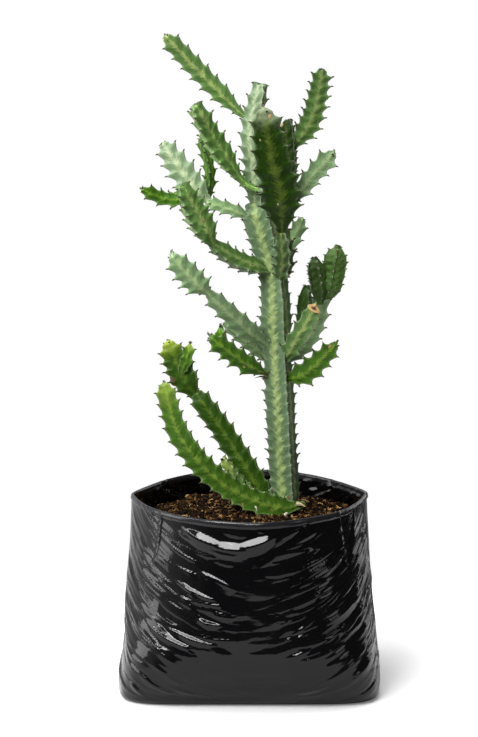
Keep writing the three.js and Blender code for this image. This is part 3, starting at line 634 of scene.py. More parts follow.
# Where a joint's tone falls from root to tip, the darker tip is painted shade on a tip that turns to the
# light.
JOINTS = {
    "trunk": stem("old_pale", 1.07, 33, (11, 17.2, 17),
        [(36, 7, 138), (33, 3, 187), (29, 0, 261), (25, 0, 325), (21, 0, 397), (6, 0, 457)], ribs=4,
        roll=28, neck=(0.07, 0.13), notch=0.88,
        swells=((0.54, -1.0), (0.64, 1.2), (0.8, -1.2), (0.94, 2.4))),
    "crown": stem("pale", 0.94, 10, (8, 15, 12), [(7, 0, 452), (5, 3, 490), (2, 6, 527), (9, 10, 567)],
        ribs=4, roll=28, neck=(0.02, 0.2), notch=0.72),
    "top_left": stem("fresh", 1.12, 9, (4.5, 12, 11),
        [(3, 7, 533), (-17, 1, 551), (-49, -8, 584), (-76, -15, 613)], neck=(0.1, 0.4), notch=0.72,
        fade=-0.25),
    "upper_left": stem("green", 1.61, 9, (5.5, 15, 12.5),
        [(11, -2, 471), (-7, -14, 480), (-32, -31, 514), (-50, -47, 550)], roll=-20, neck=(0.2, 0.55),
        notch=0.74, fade=-0.35),
    "front_lower": stem("fresh", 0.43, 5, (6, 13, 12.5), [(28, -4, 384), (32, -16, 408), (30, -24, 433)],
        ribs=4, roll=30),
    "front_upper": stem("dark_tip", 0.98, 9, (5.5, 23.5, 17.5),
        [(30, -23, 429), (27, -38, 476), (20, -48, 503), (12, -60, 547)], notch=0.74),
    "front_side": stem("grey", 1.29, 5, (5.5, 12, 13), [(36, -35, 462), (57, -38, 489), (74, -42, 508)]),
    "back_lower": stem("dark", 0.56, 9, (6, 13.5, 12),
        [(17, 5, 437), (31, 14, 456), (38, 21, 490), (36, 26, 533)], roll=30),
    "back_upper": stem("green", 0.71, 9, (5, 15, 12.5), [(37, 22, 506), (57, 27, 538), (67, 31, 580)],
        roll=70, fade=-0.2),
    "back_stub": stem("grey", 2.08, 4, (5, 10, 10), [(26, -1, 400), (40, 0, 426), (48, 1, 443)]),
    "left_high_inner": stem("grey", 1.75, 5, (4.8, 8.8, 8.5),
        [(11, 1, 438), (-11, -7, 452), (-39, -7, 461)], neck=(0.25, 0.55)),
    "left_high_outer": stem("pale", 1.05, 6, (5, 17, 13),
        [(-36, -7, 460), (-54, -2, 477), (-80, 4, 513)], neck=(0.02, 0.25)),
    "left_high_shoot": stem("deep", 1.7, 6, (3, 8, 6.5), [(-40, 0, 458), (-38, 7, 490), (-46, 10, 518)],
        roll=0),
    "left_mid_inner": stem("green", 0.64, 6, (5, 12.6, 11),
        [(21, -4, 395), (-11, -19, 406), (-34, -28, 422)], roll=-15, notch=0.74),
    "left_mid_outer": stem("green", 1.14, 7, (5.5, 17.5, 13),
        [(-33, -28, 420), (-49, -36, 446), (-63, -44, 477)], roll=-20, notch=0.74, fade=-0.1),
    "left_mid_shoot": stem("deep", 1.7, 4, (4, 9.5, 8.5),
        [(-54, -39, 467), (-78, -32, 467), (-98, -36, 475)]),
    "left_low_inner": stem("grey", 1.31, 6, (7, 13.6, 11.5),
        [(21, -3, 323), (-10, -21, 352), (-37, -34, 379)], roll=45, neck=(0.05, 0.4), notch=0.73),
    "left_low_outer": stem("grey", 1.63, 5, (5, 16.5, 13.5),
        [(-37, -34, 378), (-54, -42, 397), (-70, -50, 415)], roll=50),
    "left_back": stem("grey", 0.92, 6, (5, 9.5, 8), [(26, 3, 307), (4, 16, 321), (-23, 24, 342)]),
    "left_lowest": stem("deep", 1.7, 6, (4.5, 13.5, 12),
        [(22, -3, 295), (-6, -18, 313), (-35, -33, 337)], neck=(0.12, 0.42)),
    "left_lowest_bud": stem("deep", 2.66, 2, (4, 7, 6.4),
        [(-22, -25, 328), (-25, -29, 337), (-28, -32, 347)], roll=30, tip="round"),
    "right_cut": stem("fresh", 0.97, 5, (5.5, 12.5, 11), [(30, -4, 308), (46, -20, 340), (59, -30, 364)],
        tip="cut"),
    "right_back_inner": stem("grey", 0.92, 7, (5.5, 13, 11),
        [(28, 2, 305), (53, 18, 327), (65, 26, 349), (68, 30, 369)]),
    "right_back_club_low": stem("club", 1.03, 6, (5, 10, 9.8),
        [(67, 27, 362), (65, 27, 380), (61, 28, 403)], ribs=5, roll=18, tip="round", notch=0.93),
    "right_back_club_high": stem("club", 1.94, 8, (5, 12.4, 12),
        [(71, 30, 361), (78, 34, 386), (83, 37, 413)], ribs=5, roll=0, tip="round", notch=0.93),
    "right_back_shoot": stem("club", 1.4, 6, (4, 10, 9), [(50, 18, 321), (52, 38, 345), (54, 44, 374)],
        ribs=4, roll=30, tip="round", notch=0.86),
    "right_low": stem("deep", 1.44, 6, (4.5, 15.5, 11.5),
        [(28, -2, 291), (53, -18, 304), (78, -32, 330)], neck=(0.1, 0.4)),
    "base_front": stem("long", 1.24, 17, (4, 15, 12),
        [(51, -6, 173), (30, -9, 172), (-3, -14, 183), (-37, -21, 207), (-66, -27, 245), (-80, -32, 292)],
        neck=(-0.015, 0.15), notch=0.77),
    "base_sprout": stem("lime", 0.95, 6, (3.5, 9.5, 7.5), [(8, -6, 178), (-8, -1, 194), (-25, 1, 215)],
        roll=30),
    "base_back_lower": stem("deep", 0.83, 12, (8, 15, 13),
        [(26, 16, 146), (7, 12, 187), (-21, 15, 234), (-50, 18, 275)], neck=(0.1, 0.28), notch=0.77),
    "base_back_upper": stem("deep_tip", 0.9, 6, (7, 17, 14),
        [(-50, 18, 272), (-61, 17, 289), (-77, 14, 324)], neck=(0.04, 0.35), notch=0.76),
    "base_back_bud": stem("deep_tip", 1.6, 3, (5, 8.5, 7.5),
        [(-66, 11, 296), (-60, 8, 311), (-57, 7, 325)], tip="round", fade=0.35),
}


def axis_curve(path, steps=400):
    """A smooth curve through the points of a path, with each point's slope half the way
    between its neighbours: as many points as steps says from each to the next, and how far
    along the curve each of them is."""
    p = np.array(path, float)
    p = np.concatenate([[2 * p[0] - p[1]], p, [2 * p[-1] - p[-2]]])
    u = np.linspace(0, 1, steps, endpoint=False)[:, None]
    pieces = []
    for a, b, c, d in zip(p, p[1:], p[2:], p[3:]):
        rise, fall = (c - a) / 2, (d - b) / 2
        turn = (2 * b - 2 * c + rise + fall) * u**3 + (3 * c - 3 * b - 2 * rise - fall) * u**2
        pieces.append(turn + rise * u + b)
    curve = np.concatenate([*pieces, p[-2:-1]])
    run = np.concatenate([[0.0], np.cumsum(np.linalg.norm(np.diff(curve, axis=0), axis=1))])
    return curve, run


def axis_frames(joint, t):
    """Points on a joint's axis at shares t of its length, with the directions along it, to
    its front and to its right. Past the tip it runs straight on. Also gives the length."""
    curve, run = axis_curve(joint["path"])
    length = run[-1]
    at = lambda share: np.stack([np.interp(share * length, run, c) for c in curve.T], -1)
    inside = np.clip(t, 0, 1)
    along = unit(at(np.clip(inside + 0.002, 0, 1)) - at(np.clip(inside - 0.002, 0, 1)))
    point = at(inside) + along * ((t - inside) * length)[:, None]
    front = unit(np.array([0.0, -1.0, 0.0]) + along * along[:, 1:2])
    return point, along, front, np.cross(along, front), length


def turned_to(first, second, angle):
    """The first of two directions at right angles, turned towards the second by an angle."""
    return first * np.cos(angle) + second * np.sin(angle)


def crest_radius(joint, t):
    """The teeth's radius: it swells from the root's neck and narrows towards the tip."""
    root, widest, tip = joint["radius"]
    swell = root + (widest - root) * smooth_step(t, *joint["neck"])
    body = swell - (widest - tip) * smooth_step(t, 0.5, 1.0)
    for place, rise in joint["swells"]:
        body = body + rise * np.exp(-(((t - place) / SWELL_SPAN) ** 2))
    if joint["tip"] == "round":
        return body * np.sqrt(1 - 0.9 * np.clip((t - 0.72) / 0.28, 0, 1) ** 2)
    if joint["tip"] == "cut":
        return body
    return body * (1 - 0.3 * smooth_step(t, 1 - 0.7 / joint["teeth"], 1.0))


def rib_noise(joint, rib, t, places, seed):
    """Smooth noise along a rib of a joint, with so many places a tooth."""
    turn = t * joint["teeth"] * places
    return lattice_noise(turn, np.full_like(t, rib), joint["seed"] + seed, 64)


def tooth_turn(joint, rib, t):
    """Where on a rib a place is, counted in teeth: whole numbers are the teeth's points. The
    teeth are of uneven length, and neighbouring ribs are half a tooth out of step."""
    wander = rib_noise(joint, rib, t, 0.6, 5)
    return t * joint["teeth"] + 0.5 * (1 + rib % 2) + 0.6 * wander * t * (1.0 - t)


def tooth_phase(joint, rib, t):
    """How near a place on a rib is to a tooth's point, 1 at the point and 0 half way to the
    next one, and how high the tooth stands there: it rises nearly straight towards the tip
    of the joint, and falls off in a hollow behind its point."""
    share = tooth_turn(joint, rib, t) % 1.0
    phase = np.abs(2.0 * share - 1.0) * smooth_step(t, 0.0, 0.02)
    rising = 0.85 * phase**1.35 + 0.15 * phase**4
    return phase, np.where(share > 0.5, rising, 0.8 * phase**2.2 + 0.2 * phase**5)


def tooth_size(joint, rib, t):
    """How much longer or shorter than the joint's own radius each tooth of a rib is."""
    return 1.0 + UNEVENNESS * rib_noise(joint, rib, t, 1.0, 6)


def rib_angle(joint, rib):
    """A rib's angle from the front towards the right, in radians."""
    return math.radians(joint["roll"]) + 2 * math.pi * rib / joint["ribs"]


def joint_skin(name, joint):
    """The skin of one joint. Each ring goes from valley to crest to valley round every rib:
    a flank is a curve that leaves the thin, round crest and lies flat at the valley. The
    crest's radius falls from each tooth's point to the gullets, and the teeth lean to the
    tip. Half an egg closes the root, and another the tip, unless it was cut."""
    ribs, teeth = joint["ribs"], joint["teeth"]
    length = axis_frames(joint, np.zeros(1))[4]
    dome = 0.0 if joint["tip"] == "cut" else TIP_DOME * joint["radius"][2]
    root = ROOT_DOME * joint["radius"][0]
    root_turn = np.linspace(-math.pi / 2, 0, ROOT_RINGS + 2)[1:-1]
    tip_turn = np.linspace(0, math.pi / 2, TIP_RINGS + 2)[1:-1] if dome else np.zeros(0)
    even = np.linspace(0.0, 1.0, teeth * RINGS_A_TOOTH + 1)
    ends = root * np.sin(root_turn) / length, 1.0 + dome * np.sin(tip_turn) / length
    body = np.concatenate([ends[0], even, ends[1]])
    shrink = np.concatenate([np.cos(root_turn), np.ones_like(even), np.cos(tip_turn)])
    point, along, front, right, length = axis_frames(joint, body)
    t = np.clip(body, 0, 1)
    radius = crest_radius(joint, t) * shrink
    valley_turn = math.pi / ribs
    w = np.linspace(0.0, 1.0, FLANK_STEPS + 1)[:, None]
    share = np.concatenate([w[::-1, 0], np.zeros(CAP_STEPS), w[:-1, 0]])
    sign = np.repeat([-1.0, 0.0, 1.0], [FLANK_STEPS + 1, CAP_STEPS, FLANK_STEPS])
    edge_turn = np.linspace(0, math.pi, CAP_STEPS + 2)[1:-1]
    round_edge = np.stack([np.sin(edge_turn), np.cos(edge_turn)], -1)
    parts = []
    for rib in range(ribs):
        phase, point_height = tooth_phase(joint, rib, t)
        notch = joint["notch"] * (1.0 + UNEVENNESS * rib_noise(joint, rib, t, 0.9, 0))
        crest = radius * (notch + (tooth_size(joint, rib, t) - notch) * point_height)
        half_edge = np.minimum(0.8 + 0.35 * phase**2 - 0.5 * phase**8, 0.3 * crest)
        lean = TOOTH_LEAN * 0.5 * length / teeth * point_height * shrink
        valley = radius * VALLEY[ribs] * (1 + 0.05 * np.cos(2 * math.pi * t * teeth + rib * math.pi))
        foot = np.stack([valley * math.cos(valley_turn), valley * math.sin(valley_turn)], -1)
        top = np.stack([crest - half_edge, half_edge], -1)
        span = np.linalg.norm(foot - top, axis=1)[:, None]
        pull = np.array([math.sin(valley_turn), -math.cos(valley_turn)]) * span * 0.34
        hollow = np.array([-0.3, -1.0]) * (0.04 * radius + 0.25 * half_edge)[:, None]
        first, second = top + 0.36 * (foot - top) + hollow, foot + pull
        curve = top[:, None] * (1 - w) ** 3 + 3 * first[:, None] * (1 - w) ** 2 * w
        curve = curve + 3 * second[:, None] * (1 - w) * w**2 + foot[:, None] * w**3
        cap = round_edge * half_edge[:, None, None]
        cap[..., 0] += (crest - half_edge)[:, None]
        flat = np.concatenate([curve[:, ::-1] * [1.0, -1.0], cap[:, ::-1], curve[:, :-1]], 1)
        angle = rib_angle(joint, rib)
        outward = turned_to(front, right, angle)[:, None]
        sideways = turned_to(right, -front, angle)[:, None]
        push = lean[:, None] * (1 - share) ** 2
        place = point[:, None] + outward * flat[..., :1] + sideways * flat[..., 1:]
        place = place + along[:, None] * push[..., None]
        across = (1.0 - share) * sign * crest[:, None]
        face = np.where(sign < 0, rib, (rib + 1) % ribs)
        run = (body * length)[:, None]
        flow = np.stack(np.broadcast_arrays(run, across, face * FACE_STEP), -1)
        tooth = (1.0 - share) ** 3 * phase[:, None]
        parts.append((place * MM, np.broadcast_to(1.0 - share, tooth.shape), tooth, flow))
    rings, rib_share, tooth, flow = (np.concatenate(part, 1) for part in zip(*parts))
    poles = np.array([point[0], point[-1] + along[-1] * dome * 0.02]) * MM
    columns = rings.shape[1]
    # A tone that falls towards the tip is painted shade; one that rises lightens the tip.
    tone = joint["tone"] * (1.0 + joint["fade"] * (2.0 * t - 1.0))
    values = {"rib": rib_share.ravel(), "tooth": tooth.ravel(), "flow": flow.reshape(-1, 3)}
    values |= {"age": np.repeat(t, columns), "tone": np.repeat(tone, columns)}
    return closed_skin(name, rings, poles, **values)


PATTERN_COLOURS = ("Face", "Shade", "Band", "Tip", "Edge")
PATTERN_NUMBERS = ("Band width", "Band strength", "Tip start", "Dots")
TOOTH_BROWN = (0.075, 0.04, 0.022)


def skin_pattern():
    """The pattern that all skins share: a pale feathered band along the middle of each
    face, blotches, dots and fine streaks, a paler edge along the crests that is partly a pale
    margin and partly a painted highlight, and brown teeth."""
    group = bpy.data.node_groups.new("stem_skin", "ShaderNodeTree")
    sockets = [(name, "INPUT", "Color") for name in PATTERN_COLOURS]
    sockets += [(name, "INPUT", "Float") for name in PATTERN_NUMBERS]
    sockets += [("Color", "OUTPUT", "Color")]
    sockets += [(name, "OUTPUT", "Float") for name in ("Roughness", "Height")]
    for name, way, kind in sockets:
        group.interface.new_socket(name, in_out=way, socket_type="NodeSocket" + kind)
    nodes = Nodes(group)
    given = group.nodes.new("NodeGroupInput").outputs
    place = nodes.place()
    run, across, face = nodes.parts(nodes.value("flow", "Vector"))
    feather = nodes.add("CombineXYZ", {
        0: nodes.math("MULTIPLY_ADD", nodes.math("ABSOLUTE", across), -0.55, run),
        1: nodes.math("MULTIPLY", across, 0.22),
        2: face,
    }).outputs[0]
    rib = nodes.value("rib")
    streaks = nodes.noise(feather, 0.46, 6.0, 0.75)
    drift = nodes.noise(nodes.add("CombineXYZ", {0: run, 2: face}).outputs[0], 0.09, 3.0, 0.6)
    blotch = nodes.noise(place, 110.0, 5.0, 0.62)
    reach = nodes.sway(nodes.sway(rib, streaks, -2.2), drift, 0.5)
    band = nodes.band(nodes.math("SUBTRACT", reach, given["Band width"]), 0.12, -0.16)
    band = nodes.math("MULTIPLY", band, nodes.band(blotch, 0.3, 0.6, 0.55, 1.0))
    band = nodes.math("MULTIPLY", band, given["Band strength"])
    mottle = nodes.math("MULTIPLY_ADD", streaks, 0.6, nodes.math("MULTIPLY", blotch, 0.4))
    colour = nodes.mix(nodes.band(mottle, 0.36, 0.64), given["Shade"], given["Face"])
    colour = nodes.mix(band, colour, given["Band"])
    tone = {0: colour, "Scale": nodes.value("tone")}
    colour = nodes.add("VectorMath", tone, operation="SCALE").outputs[0]
    tip = nodes.sway(nodes.value("age"), blotch, 0.25)
    tip = nodes.band(nodes.math("SUBTRACT", tip, given["Tip start"]), 0.0, 0.26)
    colour = nodes.mix(tip, colour, given["Tip"])
    specks = nodes.add("TexVoronoi", {"Vector": place, "Scale": 620.0}).outputs["Distance"]
    sparse = nodes.band(nodes.noise(place, 180.0, 2.0), 0.45, 0.62)
    dots = nodes.math("MULTIPLY", nodes.band(specks, 0.3, 0.16), sparse)
    colour = nodes.mix(nodes.math("MULTIPLY", dots, given["Dots"]), colour, given["Edge"])
    # The paler edge along the crests: partly the skin's pale margin, partly a painted highlight.
    edge = nodes.band(streaks, 0.4, 0.62, 0.0, 0.6)
    edge = nodes.math("MULTIPLY", nodes.band(rib, 0.87, 1.0), edge)
    colour = nodes.mix(edge, colour, given["Edge"])
    tooth = nodes.band(nodes.value("tooth"), 0.9, 0.985)
    wax = nodes.noise(place, 130.0, 4.0, 0.6)
    ripple = nodes.math("MULTIPLY_ADD", streaks, 0.4, nodes.math("MULTIPLY", wax, 0.6))
    nodes.feed(group.nodes.new("NodeGroupOutput"), {
        "Color": nodes.mix(tooth, colour, TOOTH_BROWN),
        "Roughness": nodes.band(wax, 0.3, 0.7, 0.32, 0.5),
        "Height": nodes.math("MULTIPLY_ADD", dots, 0.12, ripple),
    })
    return group


def skin_material(name, group, look, gloss):
    """A waxy plant skin: the shared pattern with this kind of joint's own colours."""
    material, nodes, shader = new_material(name)
    inputs = dict(zip(PATTERN_COLOURS + PATTERN_NUMBERS, look))
    made = nodes.add("Group", inputs, node_tree=group).outputs
    nodes.feed(shader, {"Base Color": made["Color"], "Roughness": made["Roughness"]})
    nodes.feed(shader, {"Normal": nodes.bump(made["Height"], 0.5, 0.0012)})
    shader.inputs["Specular IOR Level"].default_value = gloss
    return material


# The pattern's colours and numbers for each kind of skin: face, shade, band, tip and edge,
# the edge being both a pale margin and a painted highlight along the crests, then the band's
# width and strength, the share of the length where the tip's colour starts, and the strength
# of the dots. Skins in deep shade have less gloss.
SKINS = {
    "old_pale": ((0.16, 0.25, 0.125), (0.115, 0.19, 0.09), (0.4, 0.52, 0.19), (0.2, 0.28, 0.15),
        (0.38, 0.44, 0.34), 0.34, 0.9, 1.2, 0.3),
    "pale": ((0.28, 0.39, 0.22), (0.2, 0.31, 0.155), (0.56, 0.66, 0.38), (0.34, 0.44, 0.24),
        (0.5, 0.56, 0.44), 0.3, 0.8, 1.2, 0.35),
    "grey": ((0.2, 0.31, 0.145), (0.14, 0.24, 0.1), (0.44, 0.55, 0.25), (0.26, 0.36, 0.14),
        (0.42, 0.48, 0.36), 0.26, 0.55, 1.1, 0.25),
    "green": ((0.145, 0.29, 0.065), (0.09, 0.2, 0.04), (0.42, 0.56, 0.17), (0.26, 0.4, 0.09),
        (0.38, 0.46, 0.3), 0.26, 0.7, 1.15, 0.2),
    "fresh": ((0.17, 0.32, 0.09), (0.11, 0.235, 0.055), (0.5, 0.62, 0.2), (0.38, 0.52, 0.1),
        (0.42, 0.5, 0.34), 0.26, 0.85, 0.93, 0.15),
    "dark": ((0.026, 0.07, 0.005), (0.017, 0.046, 0.003), (0.12, 0.175, 0.025), (0.1, 0.14, 0.04),
        (0.2, 0.26, 0.14), 0.22, 0.7, 1.05, 0.2),
    "dark_tip": ((0.026, 0.07, 0.005), (0.017, 0.046, 0.003), (0.13, 0.19, 0.027), (0.42, 0.5, 0.3),
        (0.2, 0.26, 0.14), 0.24, 0.8, 0.86, 0.3),
    "club": ((0.075, 0.15, 0.03), (0.05, 0.105, 0.02), (0.12, 0.2, 0.045), (0.12, 0.2, 0.05),
        (0.13, 0.22, 0.07), 0.1, 0.3, 1.2, 0.1),
    "deep": ((0.045, 0.125, 0.006), (0.028, 0.085, 0.004), (0.2, 0.32, 0.035), (0.2, 0.3, 0.04),
        (0.34, 0.4, 0.2), 0.2, 0.6, 1.2, 0.15),
    "long": ((0.08, 0.19, 0.018), (0.05, 0.13, 0.01), (0.27, 0.4, 0.06), (0.4, 0.54, 0.07),
        (0.42, 0.5, 0.26), 0.2, 0.65, 0.86, 0.15),
    "deep_tip": ((0.06, 0.15, 0.009), (0.038, 0.105, 0.006), (0.2, 0.32, 0.035), (0.37, 0.49, 0.035),
        (0.36, 0.42, 0.2), 0.2, 0.55, 0.8, 0.15),
    "lime": ((0.17, 0.29, 0.07), (0.11, 0.21, 0.045), (0.38, 0.5, 0.16), (0.34, 0.45, 0.1),
        (0.5, 0.56, 0.4), 0.3, 0.7, 0.6, 0.15),
}
USUAL_GLOSS = 0.3
GLOSSES = {"dark": 0.13, "dark_tip": 0.13}

pattern = skin_pattern()
skin_materials = {
    name: skin_material(name + "_skin", pattern, look, GLOSSES.get(name, USUAL_GLOSS))
    for name, look in SKINS.items()
}
for number, (name, joint) in enumerate(JOINTS.items()):
    joint["seed"] = 100 + 10 * number
    piece = joint_skin(name, joint)
    piece.data.materials.append(skin_materials[joint["skin"]])
    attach(piece, "root")
    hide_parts("stem_" + name)

# ---------------------------------------------------------------------------------------
# The spines: a pair of short, stout, dark brown thorns on every tooth, which part like a V
# and point a little to the tip. They have grown out of a small horny shield.
SPINE_LENGTH = 2.0
SPINE_RADIUS = 0.6
SPINE_SPREAD = math.radians(24)
SPINE_TILT = math.radians(20)
SPINE_SIDES = 5
# The rings of a spine: their share of its length, and their width for its radius.
SPINE_RINGS = ((-0.15, 1.5), (0.12, 0.9), (0.55, 0.55))
TUFT = 4
# A spine shows if it ends this far above the soil, and outside this share of other radii.
ABOVE_SOIL = 2.0
INSIDE = 0.8
NEARLY_BLACK = (0.008, 0.005, 0.004)
HORN_BROWN = (0.08, 0.042, 0.025)


def tooth_points(joint):
    """Each tooth's point, and the directions out of it, along the rib and across it."""
    found = []
    lean = TOOTH_LEAN * 0.5 / joint["teeth"]
    fine = np.linspace(0.0, 1.0, 1001)
    for rib in range(joint["ribs"]):
        first = 1 + rib % 2
        whole = np.arange(first, joint["teeth"] + first - rib % 2 * (joint["tip"] == "cut"))
        t = np.interp(whole, tooth_turn(joint, rib, fine), fine)
        point, along, front, right, length = axis_frames(joint, t)
        out = turned_to(front, right, rib_angle(joint, rib))
        reach = crest_radius(joint, t) * tooth_size(joint, rib, t)
        tip = point + out * reach[:, None] + along * lean * length
        found.append(np.stack([tip, out, along, np.cross(out, along)], 1))
    return np.concatenate(found)


def tip_tuft(joint, seed):
    """Places for the tuft of spines at a joint's tip, as tooth_points gives them."""
    rng = np.random.default_rng(seed)
    point, along, front, right, _ = axis_frames(joint, np.ones(TUFT))
    side = turned_to(front, right, rng.uniform(0, 2 * math.pi, (TUFT, 1)))
    reach = rng.uniform(0.15, 0.5, (TUFT, 1)) * crest_radius(joint, 1.0)
    place = point + side * reach + along * (TIP_DOME * joint["radius"][2] - 0.35 * reach)
    return np.stack([place, 0.8 * along + 0.6 * side, side, np.cross(along, side)], 1)


def in_the_open(found, own):
    """Those of a joint's teeth or spines that end above the soil and outside the others."""
    points = found[:, 0] + found[:, 1] * SPINE_LENGTH
    clear = points[:, 2] > soil_height(points[:, 0], points[:, 1]) + ABOVE_SOIL
    t = np.linspace(0, 1, 40)
    for name, joint in JOINTS.items():
        if name != own:
            gap = np.linalg.norm(points[:, None] - axis_frames(joint, t)[0], axis=2)
            clear &= (gap - crest_radius(joint, t) * INSIDE).min(1) > 0.0
    return found[clear]


def spine_set():
    """All the spines: five-sided cones with a slight swell at the foot, two to a tooth, and
    a tuft at each tip that has not been cut."""
    rng = np.random.default_rng(71)
    teeth = []
    for number, (name, joint) in enumerate(JOINTS.items()):
        teeth.append(in_the_open(tooth_points(joint), name))
        if joint["tip"] != "cut":
            teeth.append(in_the_open(tip_tuft(joint, 700 + number), name))
    teeth = np.concatenate(teeth)
    count = len(teeth)
    place, out, along, across = teeth.transpose(1, 0, 2)
    turn = np.arange(SPINE_SIDES)[:, None] * 2 * math.pi / SPINE_SIDES
    shapes, tones = [], []
    for hand in (-1.0, 1.0):
        spread = hand * (SPINE_SPREAD + rng.normal(0, 0.12, count))[:, None]
        tilt = (SPINE_TILT + rng.normal(0, 0.16, count))[:, None]
        aim = turned_to(turned_to(out, across, spread), along, tilt)
        way = aim * (SPINE_LENGTH * rng.uniform(0.7, 1.12, count))[:, None]
        u = unit(np.cross(aim, along))
        circle = turned_to(u[:, None], np.cross(aim, u)[:, None], turn) * SPINE_RADIUS
        foot = place + across * hand * 0.35 - out * 0.2
        rings = [(foot + way * share)[:, None] + circle * width for share, width in SPINE_RINGS]
        shapes.append(np.concatenate([*rings, (foot + way)[:, None]], 1))
        tones.append(rng.uniform(0, 1, count))
    faces = ring_faces(SPINE_SIDES, len(SPINE_RINGS))
    return loose_pieces("spines", np.concatenate(shapes), faces, tone=np.concatenate(tones))


def spine_material():
    """Horny dark brown thorns, some nearly black and some greyer where they are old."""
    material, nodes, shader = new_material("horny_spine")
    grain = nodes.noise(nodes.place(), 1400.0, 3.0)
    tone = nodes.math("MULTIPLY_ADD", grain, 0.5, nodes.value("tone"))
    colour = nodes.mix(nodes.band(tone, 0.2, 1.3), NEARLY_BLACK, HORN_BROWN)
    rough = nodes.band(grain, 0.3, 0.7, 0.4, 0.6)
    nodes.feed(shader, {"Base Color": colour, "Roughness": rough})
    return material


spines = spine_set()
spines.data.materials.append(spine_material())
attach(spines, "root")

# ---------------------------------------------------------------------------------------
# The marks of age: corky scabs on the skin, small horny shields under the spines, which are
# white on the round-ribbed joints, a pruned end, dried and pale points, and a pale chip on
# the soil. Tones go from brown at 0 to cream at 1.
PAD_SIDES = 8
# The rings and the two poles of a low pad: the rings' size, and how high each stands.
PAD_RINGS = ((1.0, -0.6), (0.96, 0.2), (0.6, 0.85))
PAD_POLES = (1.0, -0.6)
POINT_SIDES = 6
OUTSIDE = 60.0
# How far from the middle the rim of the cut face may lie, in metres, and for each ring of it
# its size, how far it stands out in millimetres and its tone.
CUT_REACH = (0.0064, 0.0079)
CUT_RINGS = (
    (0.9, -0.6, 0.5), (1.03, 0.2, 0.66), (0.92, 0.6, 0.75), (0.5, 0.5, 0.6), (0.25, 0.35, 0.2),
)
# Tones and colours of cork, the two ends first.
CORK = [
    (0.0, (0.02, 0.009, 0.005)), (1.0, (0.72, 0.7, 0.58)), (0.3, (0.11, 0.055, 0.03)),
    (0.6, (0.52, 0.33, 0.12)), (0.8, (0.62, 0.46, 0.22)),
]
# Each scab's joint, share of its length, angle round it, half length, half width and tone.
SCABS = [
    ("left_mid_outer", 0.47, 56, 2.3, 1.3, 0.72), ("left_lowest", 0.46, -34, 1.5, 1.0, 0.6),
    ("base_back_upper", 0.48, -55, 4.6, 2.4, 0.3), ("base_back_upper", 0.4, -62, 2.6, 1.8, 0.5),
    ("front_upper", 0.31, -16, 1.4, 0.8, 0.95), ("front_upper", 0.98, 43, 2.4, 1.8, 0.66),
    ("front_upper", 0.82, -44, 1.5, 0.9, 0.8), ("back_lower", 0.98, -86, 2.4, 1.7, 0.55),
    ("trunk", 0.155, -55, 1.9, 1.2, 0.3), ("trunk", 0.135, 17, 2.0, 1.4, 0.4),
    ("base_front", 0.23, 17, 1.2, 0.8, 0.2), ("left_lowest", 0.13, 18, 3.6, 2.2, 0.3),
    ("left_lowest", 0.22, -20, 1.6, 1.1, 0.45), ("right_low", 0.97, -40, 3.0, 1.6, 0.5),
    ("right_low", 0.88, -11, 1.8, 0.8, 0.4), ("right_back_club_high", 0.94, 19, 1.9, 1.1, 0.45),
    ("left_high_inner", 0.54, 56, 1.6, 0.8, 0.55), ("trunk", 0.34, -40, 2.4, 0.4, 0.9),
    ("trunk", 0.57, -38, 3.0, 0.4, 0.92), ("trunk", 0.72, -30, 1.8, 0.4, 0.9),
    ("crown", 0.5, -30, 2.4, 0.4, 0.95), ("upper_left", 0.6, -30, 1.3, 0.7, 0.7),
    ("base_back_lower", 0.3, -20, 1.8, 0.8, 0.5), ("left_mid_inner", 0.4, 20, 1.5, 0.7, 0.6),
]
# Points of dried or pale tissue: foot, point, radius of the foot and tone.
DRIED = [
    ((17, -7, 295), (3.5, -10, 295.5), 1.5, 0.25), ((44, -9, 174), (53.5, -12, 171.5), 2.4, 0.85),
    ((-19, -22, 182), (-19.5, -24, 178), 0.8, 0.3), ((-7, -20, 177), (-6, -22, 173), 0.9, 0.5),
    ((5, -18, 174), (7, -20.5, 168.5), 1.3, 0.95), ((19, -16, 171), (22, -18, 167.5), 0.9, 0.4),
    ((33, -20, 165.5), (36, -20.5, 168.5), 1.9, 0.97),
]


def low_pads(name, centre, out, along, size, height, tones, seed):
    """Low domes with an uneven edge, each on a spot with its outward direction and one along
    it. size has half length and half width."""
    rng = np.random.default_rng(seed)
    turn = np.arange(PAD_SIDES) * 2 * math.pi / PAD_SIDES
    rim = rng.uniform(0.75, 1.15, (len(centre), PAD_SIDES))
    u, v = np.cos(turn) * rim * size[:, :1], np.sin(turn) * rim * size[:, 1:]
    ring = u[..., None] * along[:, None] + v[..., None] * np.cross(out, along)[:, None]
    up, middle = (height[:, None] * out)[:, None], centre[:, None]
    parts = [middle + share * ring + rise * up for share, rise in PAD_RINGS]
    parts += [middle + rise * up for rise in PAD_POLES]
    faces = ring_faces(PAD_SIDES, len(PAD_RINGS), foot=True)
    return loose_pieces(name, np.concatenate(parts, 1), faces, tone=tones)


def skin_spot(name, t, angle):
    """The place on a joint's skin at a share of its length and an angle from the front towards
    the right, where a ray from outside meets it, in millimetres, with the directions out of
    the skin and along the joint."""
    if name not in skin_trees:
        mesh = bpy.data.objects[name].data
        corners = [vertex.co for vertex in mesh.vertices]
        skin_trees[name] = BVHTree.FromPolygons(corners, [face.vertices for face in mesh.polygons])
    frames = axis_frames(JOINTS[name], np.array([t]))[:4]
    point, along, front, right = (part[0] for part in frames)
    out = turned_to(front, right, math.radians(angle))
    start = Vector((point + out * OUTSIDE) * MM)
    place, normal = (np.array(part) for part in skin_trees[name].ray_cast(start, Vector(-out))[:2])
    return place / MM, normal, unit(along - normal * (along @ normal))


